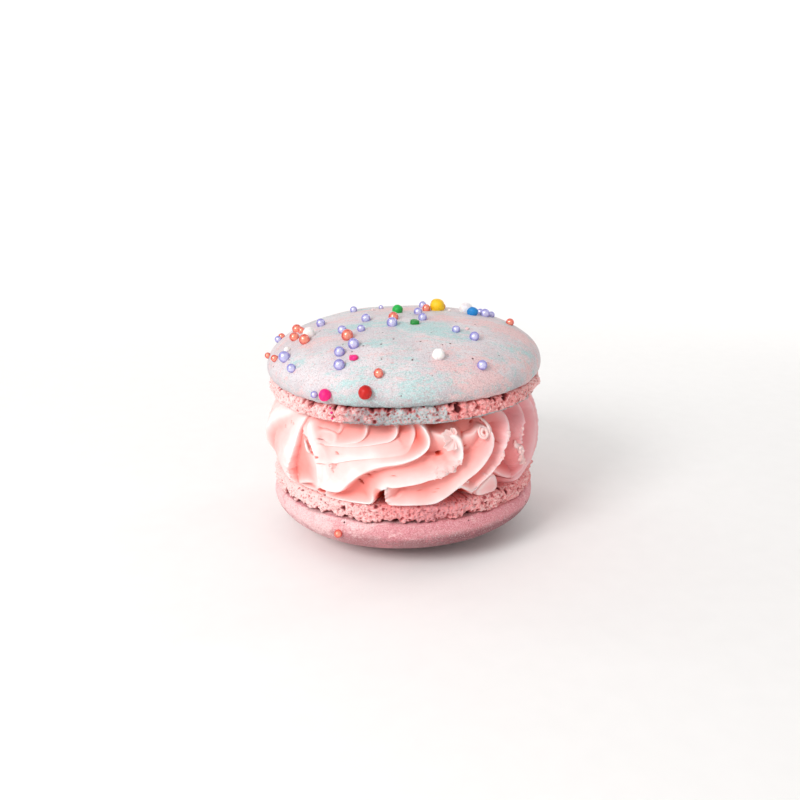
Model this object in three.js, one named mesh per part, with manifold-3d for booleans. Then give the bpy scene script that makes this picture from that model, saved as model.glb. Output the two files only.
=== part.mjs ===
// A large french macaron: two almond meringue shells with a thick ring of piped buttercream between them, and sugar
// pearls and nonpareils scattered over the upper shell. Millimetres, +Z up. The origin is the middle of the flat spot
// on the lower shell, which the macaron rests on. Azimuths are in degrees from the front (-Y), towards the right (+X).
import * as THREE from "three";
import { mergeVertices } from "three/addons/utils/BufferGeometryUtils.js";
import Module from "manifold-3d";

// ---- Driving dimensions -------------------------------------------------------------------------------------------

// A shell is a smooth cap that turns under at its rim, then a crevice, then the ruffled foot that rose in the oven.
const UPPER = { radius: 25.0, dome: 8.5, fullness: 2.5, flat: 0, turnUnder: 1.6, footHeight: 3.1, footInset: 0.35 };
const LOWER = { radius: 24.25, dome: 7.6, fullness: 2.1, flat: 7.0, turnUnder: 1.8, footHeight: 3.2, footInset: 0.3 };
const depthOf = ({ turnUnder, footHeight }) => turnUnder + footHeight; // from the widest ring to the flat underside
const RIM_HEIGHT_LOWER = LOWER.dome; // the lower shell lies dome down, so its widest ring is this high
const RIM_HEIGHT_UPPER = 31.5;
const UPPER_ROLL = THREE.MathUtils.degToRad(-1.7); // the upper shell's right side is a little higher
const TURN_IN = 0.9; // how far the skin curls in from the widest ring to the crevice, over the height turnUnder
const CREVICE_DEPTH = 0.9;
const GAP = 0.3; // kept between the buttercream and the shells

// The buttercream's crests lie on a bulging side, and its channels are scooped out behind them.
const CREST = { radius: 25.8, height: 18.8, fall: 1.9, reach: 6.2 };
const USUAL = { inset: 0, depth: 2.4, width: 1.7, reach: 8 }; // of a petal: see PETALS
const FACE_FLOOR = 0.1; // slope of a face past its width
const DIVE = 1.1; // and past its reach
const LIP_SLOPE = 2.2; // how steeply a petal drops outside its edge
const CORE_DEPTH = 4.4; // the core that shows between the petals' tips
const BLEND = 0.25; // how softly one petal runs into the next
const SIDE_RADIUS = 24.6; // turns azimuths into lengths along the side
const LEAST_PITCH = 0.8; // between two edges

const PEARL = 1.6; // diameters
const NONPAREIL = 2.0;
const SUNK = 0.5; // the share of a sprinkle's radius that is below the skin

// How finely each surface is divided.
const SHELL_COLUMNS = 60;
const CREAM_ROWS = 18;
const PETAL_SHARES = [0, 0.08, 0.26, 0.5, 0.74, 0.92]; // columns from one petal's edge to the next
const EDGE_STEPS = 4; // straight steps from one station of an edge to the next

// ---- Helpers ------------------------------------------------------------------------------------------------------

const wasm = await Module();
wasm.setup();

/** A three.js geometry as a manifold-3d solid: the attributes but position go, and shared vertices are merged. */
function toSolid(geometry) {
  const bare = new THREE.BufferGeometry();
  bare.setAttribute("position", geometry.getAttribute("position"));
  bare.setIndex(geometry.getIndex());
  const merged = mergeVertices(bare, 1e-4);
  return new wasm.Manifold(
    new wasm.Mesh({
      numProp: 3,
      vertProperties: new Float32Array(merged.getAttribute("position").array),
      triVerts: withoutSlivers(merged.getIndex().array),
    }),
  );
}

/** Drops the triangles that merging has closed up, as round the two poles of a lathe. */
function withoutSlivers(index) {
  const kept = [];
  for (let i = 0; i < index.length; i += 3) {
    const [a, b, c] = [index[i], index[i + 1], index[i + 2]];
    if (a !== b && b !== c && c !== a) kept.push(a, b, c);
  }
  return new Uint32Array(kept);
}

/** A manifold-3d solid as a three.js geometry. */
function toGeometry(solid) {
  const mesh = solid.getMesh();
  const geometry = new THREE.BufferGeometry();
  geometry.setAttribute("position", new THREE.BufferAttribute(mesh.vertProperties, 3));
  geometry.setIndex(new THREE.BufferAttribute(mesh.triVerts, 1));
  geometry.computeVertexNormals();
  return geometry;
}

/** The profile turned round +Z from the front. move(vertex, azimuth in radians, station, column) shapes each vertex. */
function turned(profile, columns, move) {
  const geometry = new THREE.LatheGeometry(profile, columns).rotateX(Math.PI / 2);
  const position = geometry.getAttribute("position");
  const vertex = new THREE.Vector3();
  for (let i = 0; i < position.count; i += 1) {
    vertex.fromBufferAttribute(position, i);
    const column = Math.floor(i / profile.length) % columns;
    move(vertex, (column / columns) * 2 * Math.PI, i % profile.length, column);
    position.setXYZ(i, vertex.x, vertex.y, vertex.z);
  }
  return geometry;
}

/** Sum of sine waves round the rim, each [waves in a turn, height, phase]: uneven, yet it closes on itself. */
const waves = (angle, list) =>
  list.reduce((sum, [count, height, phase]) => sum + height * Math.sin(count * angle + phase), 0);

const at = (azimuth, radius, height) =>
  new THREE.Vector3(radius * Math.sin(azimuth), -radius * Math.cos(azimuth), height);

// ---- Shells -------------------------------------------------------------------------------------------------------

/** Height of the cap above its widest ring at a distance from the axis: a dome squarer than an ellipse. */
const domeHeight = ({ radius, dome, fullness, flat }, distance) => {
  const full = dome / Math.sqrt(1 - (flat / radius) ** fullness);
  return Math.min(dome, full * Math.sqrt(Math.max(0, 1 - (distance / radius) ** fullness)));
};

/** Outline of a shell from the middle of its cap to the middle of its underside, widest ring at height 0. */
function shellProfile(shell) {
  const { radius, fullness, flat, turnUnder, footHeight } = shell;
  const points = [new THREE.Vector2(0, domeHeight(shell, 0))];
  const domeSteps = 8;
  const first = flat > 0 ? 0 : 1;
  const start = flat > 0 ? Math.acos((flat / radius) ** (fullness / 2)) : Math.PI / 2;
  for (let i = first; i <= domeSteps; i += 1) {
    const distance = radius * Math.cos(start * (1 - i / domeSteps)) ** (2 / fullness);
    points.push(new THREE.Vector2(distance, domeHeight(shell, distance)));
  }
  const skin = radius - TURN_IN;
  points.push(new THREE.Vector2(radius - 0.25 * TURN_IN, -0.6 * turnUnder));
  points.push(new THREE.Vector2(skin, -turnUnder));
  points.push(new THREE.Vector2(skin - CREVICE_DEPTH, -turnUnder - 0.25));
  const foot = radius - shell.footInset;
  for (const [inset, drop] of [[0.35, 0.25], [0, 0.55], [0.35, 0.85], [1.6, 1]])
    points.push(new THREE.Vector2(foot - inset, -turnUnder - drop * footHeight));
  points.push(new THREE.Vector2(0, -depthOf(shell)));
  return points.reverse();
}

const OUT_OF_ROUND = [[2, 0.16, 0.6], [3, 0.12, 2.1], [5, 0.05, 4.0]];
const RUFFLE = [[6, 0.09, 0.4], [10, 0.1, 1.9], [15, 0.12, 3.3], [19, 0.09, 5.2]];
const RUFFLE_TWIST = 0.12; // the ruffles lean, by this many radians a millimetre

/** One shell with its cap up. The cap is a little out of round, and the foot is ruffled besides. */
function shellSolid(shell, phase) {
  const profile = shellProfile(shell);
  const footTop = -shell.turnUnder - 0.2;
  const inner = shell.radius - 3;
  return toSolid(
    turned(profile, SHELL_COLUMNS, (vertex, azimuth) => {
      const distance = Math.hypot(vertex.x, vertex.y);
      if (distance < 1e-6) return;
      let outward = (waves(azimuth + phase, OUT_OF_ROUND) * distance) / shell.radius;
      if (vertex.z < footTop && distance > inner)
        outward += waves(azimuth + phase + RUFFLE_TWIST * vertex.z, RUFFLE);
      const scale = 1 + outward / distance;
      vertex.x *= scale;
      vertex.y *= scale;
    }),
  );
}

/** Where a sprinkle's middle lies on a cap: [azimuth, distance from the axis] is its place on the skin. */
function seat(shell, phase, [azimuthDegrees, distance], diameter) {
  const azimuth = THREE.MathUtils.degToRad(azimuthDegrees);
  const step = 0.05;
  const inside = Math.min(distance, shell.radius - 0.02);
  const slope = (domeHeight(shell, inside - step) - domeHeight(shell, inside)) / step;
  const normal = new THREE.Vector2(slope, 1).normalize();
  const lift = (diameter / 2) * (1 - SUNK);
  const outward = (waves(azimuth + phase, OUT_OF_ROUND) * inside) / shell.radius;
  return at(azimuth, inside + outward + normal.x * lift, domeHeight(shell, inside) + normal.y * lift);
}

/** A sprinkle as a sphere with few sides, turned so that no two show the same facets. */
function ball(centre, diameter, turn) {
  const sphere = new THREE.SphereGeometry(diameter / 2, 6, 4);
  sphere.rotateX(turn).rotateZ(2 * turn);
  return toSolid(sphere).translate(centre.x, centre.y, centre.z);
}

// ---- Sprinkles ----------------------------------------------------------------------------------------------------

// Where each kind lies on the upper cap: [azimuth, distance from the axis].
const LAVENDER_PEARLS = [
  [-94, 22.9], [-61, 23], [-50, 23.9], [-80, 14.7], [-56, 7.6], [-36, 12], [-48, 13.7], [-26, 17.8], [-30, 20],
  [-27, 22.4], [-35, 24.9], [-124, 11], [-153, 8.6], [-11, 8.5], [155, 9.3], [87, 2.9], [36, 6.1], [40, 14.1],
  [43, 17.6], [32, 23.3], [108, 15.3], [101, 15.5], [104, 17.1],
];
const CORAL_PEARLS = [
  [-88, 19], [-80, 18.2], [-74, 19.7], [-61, 19.1], [-96, 22.4], [-70, 23.8], [-85, 24.5], [-36, 15.5], [-9, 23.3],
  [-18, 4.8], [127, 5.6], [94, 19.7],
];
const NONPAREILS = [
  [-65, 17.7], [-65, 21.9], [16, 20.6], [108, 12.4], [-29, 24.9], [-14, 24.9], [134, 10.6], [-146, 1.4], [123, 7.8],
  [98, 13], [-22, 20.7], [16, 7.9],
];
// The rest of the cap, at its far side, is strewn by rule: more pearls than nonpareils, and no two that touch.
const STREWN = { count: 10, from: 138, to: 206, inner: 22.4, outer: 24.6, apart: 2.7, seed: 7 };

/** Numbers from 0 to 1 that are the same on each run. */
function* numbers(seed) {
  let state = seed;
  for (;;) {
    state = (Math.imul(state, 1103515245) + 12345) & 0x7fffffff;
    yield state / 2 ** 31;
  }
}

/** Places on the far side of the cap, drawn by rule and kept apart from one another. */
function strewn() {
  const draw = numbers(STREWN.seed);
  const places = [];
  const mostDraws = 4000;
  for (let i = 0; i < mostDraws && places.length < STREWN.count; i += 1) {
    const azimuth = STREWN.from + (STREWN.to - STREWN.from) * draw.next().value;
    const distance = Math.sqrt(
      STREWN.inner ** 2 + (STREWN.outer ** 2 - STREWN.inner ** 2) * draw.next().value,
    );
    const here = at(THREE.MathUtils.degToRad(azimuth), distance, 0);
    const clear = places.every(
      ([a, d]) => at(THREE.MathUtils.degToRad(a), d, 0).distanceTo(here) > STREWN.apart,
    );
    if (clear) places.push([azimuth, distance]);
  }
  return places;
}

/** The upper cap's sprinkles as [place, diameter]. */
function upperSprinkles() {
  const placed = [
    ...NONPAREILS.map((place) => [place, NONPAREIL]),
    ...[...LAVENDER_PEARLS, ...CORAL_PEARLS].map((place) => [place, PEARL]),
  ];
  return [...placed, ...strewn().map((place, i) => [place, i % 6 === 0 ? NONPAREIL : PEARL])];
}

const LOWER_PEARL = [[-154, 24.2], PEARL];

/** A shell with its sprinkles fused to its skin. */
function sprinkledShell(shell, phase, sprinkles) {
  const balls = sprinkles.map(([place, diameter], i) =>
    ball(seat(shell, phase, place, diameter), diameter, 0.7 * i),
  );
  return wasm.Manifold.union([shellSolid(shell, phase), ...balls]);
}

// ---- Buttercream --------------------------------------------------------------------------------------------------

// The swirl is piped through a star nozzle, so its side is a row of overlapping petals. A petal's edge runs from under
// the upper shell, round its corner and down along its tail: [azimuth, height] from the top down. The petal lies to the
// left of its edge, or above it. hem goes on from the last station, back up under the petal before. The crest is set
// back by inset, its face falls behind it by depth over width, and past reach it dives under the next. A pair of values
// runs from the first station to the last. guide is the line that the mesh's columns follow, where it isn't the edge.
const PETALS = [
  {
    edge: [[-48, 28], [-55.5, 26.7], [-63.6, 24.8], [-72.4, 22.7], [-82, 18.5], [-88, 14.8], [-92, 12]],
    inset: 0.2, depth: 0.4, width: 2.2,
  },
  {
    edge: [[-44.5, 28], [-46.6, 23.7], [-46.4, 21.8], [-49.8, 17.5], [-52.4, 15], [-51, 12]],
    inset: 0.1, depth: 0.6, width: 4.6,
  },
  {
    edge: [[-30, 28.3], [-28.3, 25.5], [-30, 24.3]], hem: [[-39, 25], [-44.5, 25.4]],
    guide: [[-30, 28.3], [-28.2, 26], [-31, 24], [-44, 22.5], [-47, 20], [-47, 12]],
    inset: 1.2, depth: 0.8, width: 0.6,
  },
  {
    edge: [[-17.8, 28], [-15.3, 25.7], [-18.5, 24.2], [-27.5, 23.5]], hem: [[-39.3, 24.2], [-44, 24.9]],
    guide: [[-17.8, 28], [-15.3, 25.7], [-18, 24.2], [-28.5, 23.2], [-40, 21], [-41.5, 19], [-41, 12]],
    inset: 0.85, depth: 1.0, width: 0.7,
  },
  {
    edge: [[-5, 28.2], [-2.8, 25.5], [-5, 24.1], [-16.8, 23.1], [-26.5, 22.7]], hem: [[-34, 22.7], [-43.5, 24.4]],
    guide: [[-5, 28.2], [-2.7, 25.8], [-5.8, 24], [-16.8, 23.2], [-26, 22.6], [-34, 20], [-35, 18], [-35, 12]],
    inset: 0.45, depth: 1.25, width: 0.8,
  },
  {
    edge: [[0.5, 28.2], [4.3, 25.3], [1, 22.2], [-10.5, 21.5], [-28.2, 19.9]],
    hem: [[-33, 19.7], [-36.5, 21.2], [-44, 24]],
    guide: [[0.5, 28.2], [3, 26.7], [4.3, 25.3], [1, 22.2], [-12, 21], [-26, 19], [-29, 17], [-29, 12]],
    inset: [1.4, 0.2], depth: [0.8, 0.4], width: 1.0, reach: [2.6, 1.2],
  },
  {
    edge: [[3.5, 28], [9.6, 24.6], [6, 22], [-9, 20.3], [-15.8, 18.8], [-25.2, 14.9], [-34.2, 14.8]],
    hem: [[-36.3, 14.2], [-33.8, 19.2], [-41.5, 25]],
    guide: [[3.5, 28], [9.6, 24.6], [9.3, 23.2], [0, 21], [-9, 20.3], [-20, 17.2], [-25.2, 14.9], [-25, 12]],
    depth: [2.4, 0], width: [0.9, 3],
  },
  {
    edge: [[14, 28], [20.5, 24.9], [21.9, 23], [21.3, 20.4], [16.7, 18.7], [5.1, 17.4], [-7.8, 16.3], [-13, 13]],
    hem: [[-31.5, 12.7], [-31.3, 14.4]],
    depth: 2.1, width: [2.0, 0.9],
  },
  {
    edge: [[30.5, 28], [36.7, 22.9], [35.8, 21.2], [24.1, 17.2], [16.5, 14.4], [10.3, 12.9], [-3.3, 13]],
    hem: [[-6.8, 14], [-6.4, 16.6]],
    depth: 2.1, width: [1.2, 2.2],
  },
  {
    edge: [[40.5, 28.4], [45.4, 26.4], [47.2, 24.7], [43.5, 21.8], [39, 19.2], [34.4, 17], [29.2, 14.2]],
    guide: [[40.5, 28.4], [45.4, 26.4], [47.2, 24.7], [43.5, 21.8], [39, 19.2], [36, 17], [35, 12]],
    inset: 0.15, depth: 2.4, width: 0.8,
  },
  {
    edge: [[53, 28.3], [60, 25], [57, 22.2], [52.8, 19.6], [55, 17], [53, 12]],
    inset: 0.3, depth: 2.2, width: 0.9,
  },
];
// Buttercream in the fold left of the long petal, and a lip under it.
const EXTRAS = [
  { edge: [[-41, 25.2], [-36, 21.4], [-33, 18], [-34, 16], [-36, 12]], inset: 0.15, depth: 1.8, width: 2.2 },
  { edge: [[-34.5, 14.9], [-43, 14.7], [-51.5, 12.6]], inset: 0.75, depth: 1.2, width: 1.3 },
];
// On the far side the petals follow one another by rule. Stations are [azimuth from the corner, height].
const FAR = { from: 74, spacing: 13.3, count: 16 };
const FAR_STATIONS = [[-9, 28.4], [-3, 26], [0, 23], [-2.5, 20.2], [-7, 17.4], [-11, 14.6], [-16, 12]];

/** Every petal, the named ones first and then those of the far side, which vary in pitch, height and sweep. */
function allPetals() {
  const far = Array.from({ length: FAR.count }, (unused, i) => {
    const corner = FAR.from + FAR.spacing * i + 1.8 * Math.sin(2.7 * i);
    const sweep = 1 + 0.3 * Math.sin(1.9 * i + 1);
    const rise = 0.8 * Math.sin(3.1 * i + 2);
    return {
      edge: FAR_STATIONS.map(([away, height], station) => [
        corner + sweep * away,
        height + (station > 0 && station < 5 ? rise : 0),
      ]),
      inset: 0.3 * (1 + Math.sin(2.3 * i)),
      width: 1.4 + 0.5 * Math.sin(4.1 * i),
    };
  });
  return [...PETALS, ...far];
}

/** A run of stations as short straight steps of a smooth curve, in millimetres along the side and up. */
function smoothSteps(stations) {
  const points = stations.map(
    ([azimuth, height]) => new THREE.Vector3(THREE.MathUtils.degToRad(azimuth) * SIDE_RADIUS, height, 0),
  );
  return new THREE.CatmullRomCurve3(points, false, "centripetal").getPoints(EDGE_STEPS * (stations.length - 1));
}

/** Distance of a point of the unrolled side from an edge, above 0 on the petal, and the share of the edge run there. */
function fromEdge(steps, along, height) {
  let nearest = Infinity;
  let side = 1;
  let share = 0;
  for (let i = 0; i + 1 < steps.length; i += 1) {
    const [a, b] = [steps[i], steps[i + 1]];
    const [runX, runY] = [b.x - a.x, b.y - a.y];
    const [toX, toY] = [along - a.x, height - a.y];
    const part = THREE.MathUtils.clamp((toX * runX + toY * runY) / (runX ** 2 + runY ** 2), 0, 1);
    const distance = Math.hypot(toX - part * runX, toY - part * runY);
    if (distance < nearest) {
      nearest = distance;
      side = runX * toY - runY * toX < 0 ? 1 : -1;
      share = (i + part) / (steps.length - 1);
    }
  }
  return [side * nearest, share];
}

/** A petal's trait at a share of its edge: one value, or a pair that runs from the first station to the last. */
function traitAt(petal, name, share) {
  const value = petal[name] ?? USUAL[name];
  return Array.isArray(value) ? THREE.MathUtils.lerp(...value, share) : value;
}

/** Depth of one petal's surface below the crests' side, at a distance from its edge. */
function petalDepth(petal, distance, share) {
  const [inset, depth, width, reach] = Object.keys(USUAL).map((name) => traitAt(petal, name, share));
  if (distance < 0) return inset - LIP_SLOPE * distance;
  const face = depth * (1 - Math.exp(-((distance / width) ** 1.5)));
  return inset + face + FACE_FLOOR * distance + DIVE * Math.max(0, distance - reach);
}

/** How far the surface lies inside the crests' side: the highest of the petals' surfaces, softly joined. */
function reliefDepth(petals, along, height) {
  const turn = 2 * Math.PI * SIDE_RADIUS;
  let sum = Math.exp(-CORE_DEPTH / BLEND);
  for (const petal of petals)
    for (const lap of [-turn, 0, turn])
      sum += Math.exp(-petalDepth(petal, ...fromEdge(petal.steps, along + lap, height)) / BLEND);
  return Math.max(0, Math.min(CORE_DEPTH, -BLEND * Math.log(sum)));
}

const crestRadius = (height) => CREST.radius - CREST.fall * ((height - CREST.height) / CREST.reach) ** 2;

/** Where each petal's edge crosses a height, in millimetres along the side, in order and kept a little apart. */
function crossings(petals, height) {
  const places = petals.map(({ guide }) => {
    const below = guide.findIndex((point) => point.y <= height);
    if (below <= 0) return guide[below < 0 ? guide.length - 1 : 0].x;
    const [a, b] = [guide[below - 1], guide[below]];
    return a.x + ((b.x - a.x) * (a.y - height)) / (a.y - b.y);
  });
  for (let i = 1; i < places.length; i += 1) places[i] = Math.max(places[i], places[i - 1] + LEAST_PITCH);
  return places;
}

/** The buttercream: flat where it meets the shells, with the petals worked into its side. Columns follow the edges. */
function creamSolid() {
  const floor = RIM_HEIGHT_LOWER + depthOf(LOWER) + GAP;
  const ceiling = RIM_HEIGHT_UPPER - depthOf(UPPER) - GAP;
  const withSteps = (petal) => ({
    ...petal,
    steps: smoothSteps([...petal.edge, ...(petal.hem ?? [])]),
    guide: smoothSteps(petal.guide ?? petal.edge),
  });
  const petals = allPetals().map(withSteps);
  const surfaces = [...petals, ...EXTRAS.map(withSteps)];
  const shares = PETAL_SHARES.length;
  const rows = Array.from({ length: CREAM_ROWS + 1 }, (unused, row) => row / CREAM_ROWS);
  const levels = rows.map((row) => floor + (ceiling - floor) * row);
  const edgePlaces = levels.map((level) => crossings(petals, level));
  const turn = 2 * Math.PI * SIDE_RADIUS;
  const profile = [new THREE.Vector2(0, 0), ...rows.map((row) => new THREE.Vector2(1, row)), new THREE.Vector2(0, 1)];
  return toSolid(
    turned(profile, petals.length * shares, (vertex, unused, station, column) => {
      const lean = (radius, azimuth) => -Math.tan(UPPER_ROLL) * radius * Math.sin(azimuth);
      if (station === 0) return vertex.set(0, 0, floor);
      if (station > rows.length) return vertex.set(0, 0, ceiling + lean(0, 0));
      const places = edgePlaces[station - 1];
      const petal = Math.floor(column / shares);
      const next = petal + 1 < places.length ? places[petal + 1] : places[0] + turn;
      const along = places[petal] + (next - places[petal]) * PETAL_SHARES[column % shares];
      const azimuth = along / SIDE_RADIUS;
      const level = levels[station - 1];
      const radius = crestRadius(level) - reliefDepth(surfaces, along, level);
      return vertex.copy(at(azimuth, radius, level + rows[station - 1] * lean(radius, azimuth)));
    }),
  );
}

// ---- Assembly -----------------------------------------------------------------------------------------------------

function named(name, solid, colour, roughness) {
  const material = new THREE.MeshStandardMaterial({ color: colour, roughness, metalness: 0 });
  const mesh = new THREE.Mesh(toGeometry(solid), material);
  mesh.name = name;
  return mesh;
}

const macaron = new THREE.Group();

const lowerShell = named("lower_shell", sprinkledShell(LOWER, 2.4, [LOWER_PEARL]), 0xd79aa0, 0.75);
lowerShell.rotation.x = Math.PI; // dome down
lowerShell.position.z = RIM_HEIGHT_LOWER;
macaron.add(lowerShell);

const cream = named("cream", creamSolid(), 0xffc4bd, 0.45);
macaron.add(cream);

const upperShell = named("upper_shell", sprinkledShell(UPPER, 0, upperSprinkles()), 0xdfd5d9, 0.7);
upperShell.rotation.y = UPPER_ROLL;
upperShell.position.z = RIM_HEIGHT_UPPER;
macaron.add(upperShell);

export default macaron;
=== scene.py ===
# %% [markdown]
# # A french macaron
# Two almond meringue shells hold a thick ring of piped buttercream, and sugar pearls are strewn over the
# upper one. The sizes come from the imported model, which is loaded as a fixed frame: every piece below takes
# the place of one of its solids, with the same form and a much finer surface. Blender works in metres, and
# a macaron is easier to think of in millimetres, so every shape is worked out in millimetres and scaled
# once, when its mesh is made.

# %% Load the frame
import math

import bpy
import numpy as np
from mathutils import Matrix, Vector


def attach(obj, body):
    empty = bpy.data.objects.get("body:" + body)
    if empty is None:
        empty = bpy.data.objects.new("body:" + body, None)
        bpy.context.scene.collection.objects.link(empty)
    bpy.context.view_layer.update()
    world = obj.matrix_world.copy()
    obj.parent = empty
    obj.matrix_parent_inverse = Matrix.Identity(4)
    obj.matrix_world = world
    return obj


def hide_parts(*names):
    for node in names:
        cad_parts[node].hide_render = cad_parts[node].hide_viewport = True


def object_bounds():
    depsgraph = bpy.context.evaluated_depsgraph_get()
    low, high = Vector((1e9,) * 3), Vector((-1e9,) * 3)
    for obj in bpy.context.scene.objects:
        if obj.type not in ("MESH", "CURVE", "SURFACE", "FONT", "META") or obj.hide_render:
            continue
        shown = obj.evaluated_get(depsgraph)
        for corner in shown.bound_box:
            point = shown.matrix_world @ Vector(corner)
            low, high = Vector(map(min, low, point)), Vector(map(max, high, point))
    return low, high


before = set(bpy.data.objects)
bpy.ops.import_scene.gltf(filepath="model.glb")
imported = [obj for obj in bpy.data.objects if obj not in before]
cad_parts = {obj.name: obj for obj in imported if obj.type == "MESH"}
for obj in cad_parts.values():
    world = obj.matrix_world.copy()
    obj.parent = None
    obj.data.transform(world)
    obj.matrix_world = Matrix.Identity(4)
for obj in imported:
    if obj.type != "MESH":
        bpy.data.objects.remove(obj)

MM = 0.001
cad_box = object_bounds()
size_mm = [(high - low) / MM for low, high in zip(*cad_box)]
print("solids:", sorted(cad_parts), "box in mm:", [round(side, 1) for side in size_mm])

# %% [markdown]
# ## The main sizes
# A shell is a smooth cap that turns under at its rim, a crevice below the rim, and the ruffled foot that
# rose in the oven. The lower shell is the same thing upside down. These few numbers drive both, as they
# drive the solids.

# %% Sizes of the shells
UPPER = {"radius": 25.0, "dome": 8.5, "fullness": 2.5, "flat": 0.0, "rim_height": 31.5,
         "turn_under": 1.6, "foot_height": 3.1, "foot_inset": 0.35, "gape": (-0.05, 0.6, 0.25)}
LOWER = {"radius": 24.25, "dome": 7.6, "fullness": 2.1, "flat": 7.0, "rim_height": 7.6,
         "turn_under": 1.8, "foot_height": 3.2, "foot_inset": 0.3, "gape": (math.pi + 0.3, 0.9, 0.6)}
# gape is where the crevice is widest open, in radians from the shell's front, how far round, and its least
# share.
TURN_IN = 0.9  # how far the skin curls in, over the height turn_under from the widest ring to the crevice
UPPER_DEPTH, LOWER_DEPTH = [shell["turn_under"] + shell["foot_height"] for shell in (UPPER, LOWER)]
UPPER_ROLL = math.radians(-1.7)  # the right side is a little higher
OUT_OF_ROUND = [(2, 0.16, 0.6), (3, 0.12, 2.1), (5, 0.05, 4.0)]  # waves in a turn, height, phase
RUFFLE = [(6, 0.09, 0.4), (10, 0.1, 1.9), (15, 0.12, 3.3), (19, 0.09, 5.2)]
RUFFLE_TWIST = 0.12  # the ruffles lean, by this many radians a millimetre
UPPER_PHASE, LOWER_PHASE = 0.0, 2.4
print("heights in mm: undersides at", LOWER["rim_height"] + LOWER_DEPTH, "and",
      UPPER["rim_height"] - UPPER_DEPTH)

# %% [markdown]
# ## Camera, light and floor
# The macaron stands close to the camera, so its upper shell is seen flatter than its lower one. A plain
# white floor that curves up into a wall gives an even background. A small soft light stands to the left and
# in front, with a large one behind it as a window, so the right side lies in a soft shade. Two lights wash
# the wall from behind the macaron, and the world fills the shadows, as a white room does.

# %% Camera
def look_at(thing, target):
    """Turns a camera or a light so that its -Z axis points at the target."""
    thing.rotation_euler = (target - thing.location).to_track_quat("-Z", "Y").to_euler()


CAMERA_PLACE = (-0.0006, -0.150, 0.06985)
CAMERA_PITCH = math.radians(17.13)
CAMERA_LENS = 37.74  # mm, on a sensor 36 mm wide

camera = bpy.data.objects.new("camera", bpy.data.cameras.new("camera"))
camera.data.lens = CAMERA_LENS
camera.data.sensor_width = 36.0
camera.data.clip_start = 0.005
camera.location = CAMERA_PLACE
camera.rotation_euler = (math.pi / 2 - CAMERA_PITCH, 0.0, 0.0)
bpy.context.collection.objects.link(camera)
bpy.context.scene.camera = camera
print("camera", round(math.degrees(CAMERA_PITCH), 1), "degrees down from", CAMERA_PLACE)

# %% Floor and wall
def mesh_object(name, points_mm, *face_arrays):
    """A smooth mesh from an array of points in mm, shape (n, 3), and arrays of faces with the same number
    of sides each, linked at the origin."""
    mesh = bpy.data.meshes.new(name)
    sides = np.concatenate([np.full(len(faces), faces.shape[1]) for faces in face_arrays])
    corners = np.concatenate([faces.ravel() for faces in face_arrays])
    mesh.vertices.add(len(points_mm))
    mesh.vertices.foreach_set("co", (points_mm * MM).astype(np.float32).ravel())
    mesh.loops.add(len(corners))
    mesh.loops.foreach_set("vertex_index", corners.astype(np.int32))
    mesh.polygons.add(len(sides))
    mesh.polygons.foreach_set("loop_start", (np.cumsum(sides) - sides).astype(np.int32))
    mesh.polygons.foreach_set("use_smooth", np.full(len(sides), True))
    mesh.update(calc_edges=True)
    made = bpy.data.objects.new(name, mesh)
    bpy.context.collection.objects.link(made)
    return made


def grid_faces(rows, columns, closed=False):
    """Four-sided faces between neighbours in a grid of points. closed joins the last column to the
    first."""
    row = columns * np.arange(rows - 1)[:, None]
    column = np.arange(columns if closed else columns - 1)[None, :]
    beside = (column + 1) % columns
    corners = [row + column, row + beside, row + columns + beside, row + columns + column]
    return np.stack(corners, -1).reshape(-1, 4)


FLOOR_HALF_WIDTH, FLOOR_FRONT, WALL_TOP = 1500.0, -900.0, 1200.0  # mm
BEND_START, BEND_RADIUS = 500.0, 500.0

bend = np.linspace(0.0, math.pi / 2, 24)
BEND_END = BEND_START + BEND_RADIUS
floor_y = np.concatenate([[FLOOR_FRONT], BEND_START + BEND_RADIUS * np.sin(bend), [BEND_END]])
floor_z = np.concatenate([[0.0], BEND_RADIUS * (1 - np.cos(bend)), [WALL_TOP]])
across = np.array([-FLOOR_HALF_WIDTH, FLOOR_HALF_WIDTH])
floor_points = np.stack(np.broadcast_arrays(across[None, :], floor_y[:, None], floor_z[:, None]), -1)
floor = mesh_object("studio_floor", floor_points.reshape(-1, 3), grid_faces(len(floor_y), 2))
print("floor and wall from", len(floor_y) * 2, "points")

# %% Light
WORLD_STRENGTH = 0.52
MACARON_MIDDLE = (0.0, 0.0, 0.022)
# Name, place and size in metres, power in watts, and the point it is turned to.
LIGHTS = [
    ("key_light", (-0.21, -0.276, 0.24), 0.14, 0.95, MACARON_MIDDLE),
    ("window", (-0.26, -0.335, 0.45), 0.5, 0.6, MACARON_MIDDLE),
    ("fill_right", (0.36, -0.20, 0.12), 0.3, 0.12, MACARON_MIDDLE),
    ("wall_light_left", (-0.5, 0.3, 0.5), 0.4, 2.4, (-0.3, 1.0, 0.1)),
    ("wall_light_right", (0.5, 0.3, 0.5), 0.4, 3.4, (0.3, 1.0, 0.1)),
]

world = bpy.data.worlds.new("studio")
world.use_nodes = True
world.node_tree.nodes["Background"].inputs["Color"].default_value = (1.0, 0.985, 0.975, 1.0)
world.node_tree.nodes["Background"].inputs["Strength"].default_value = WORLD_STRENGTH
bpy.context.scene.world = world

for name, place, size, power, target in LIGHTS:
    light = bpy.data.objects.new(name, bpy.data.lights.new(name, "AREA"))
    light.data.energy = power
    light.data.size = size
    light.location = place
    bpy.context.collection.objects.link(light)
    look_at(light, Vector(target))
bpy.context.scene.view_settings.view_transform = "Standard"
print(len(LIGHTS), "lights, world", WORLD_STRENGTH)

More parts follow.
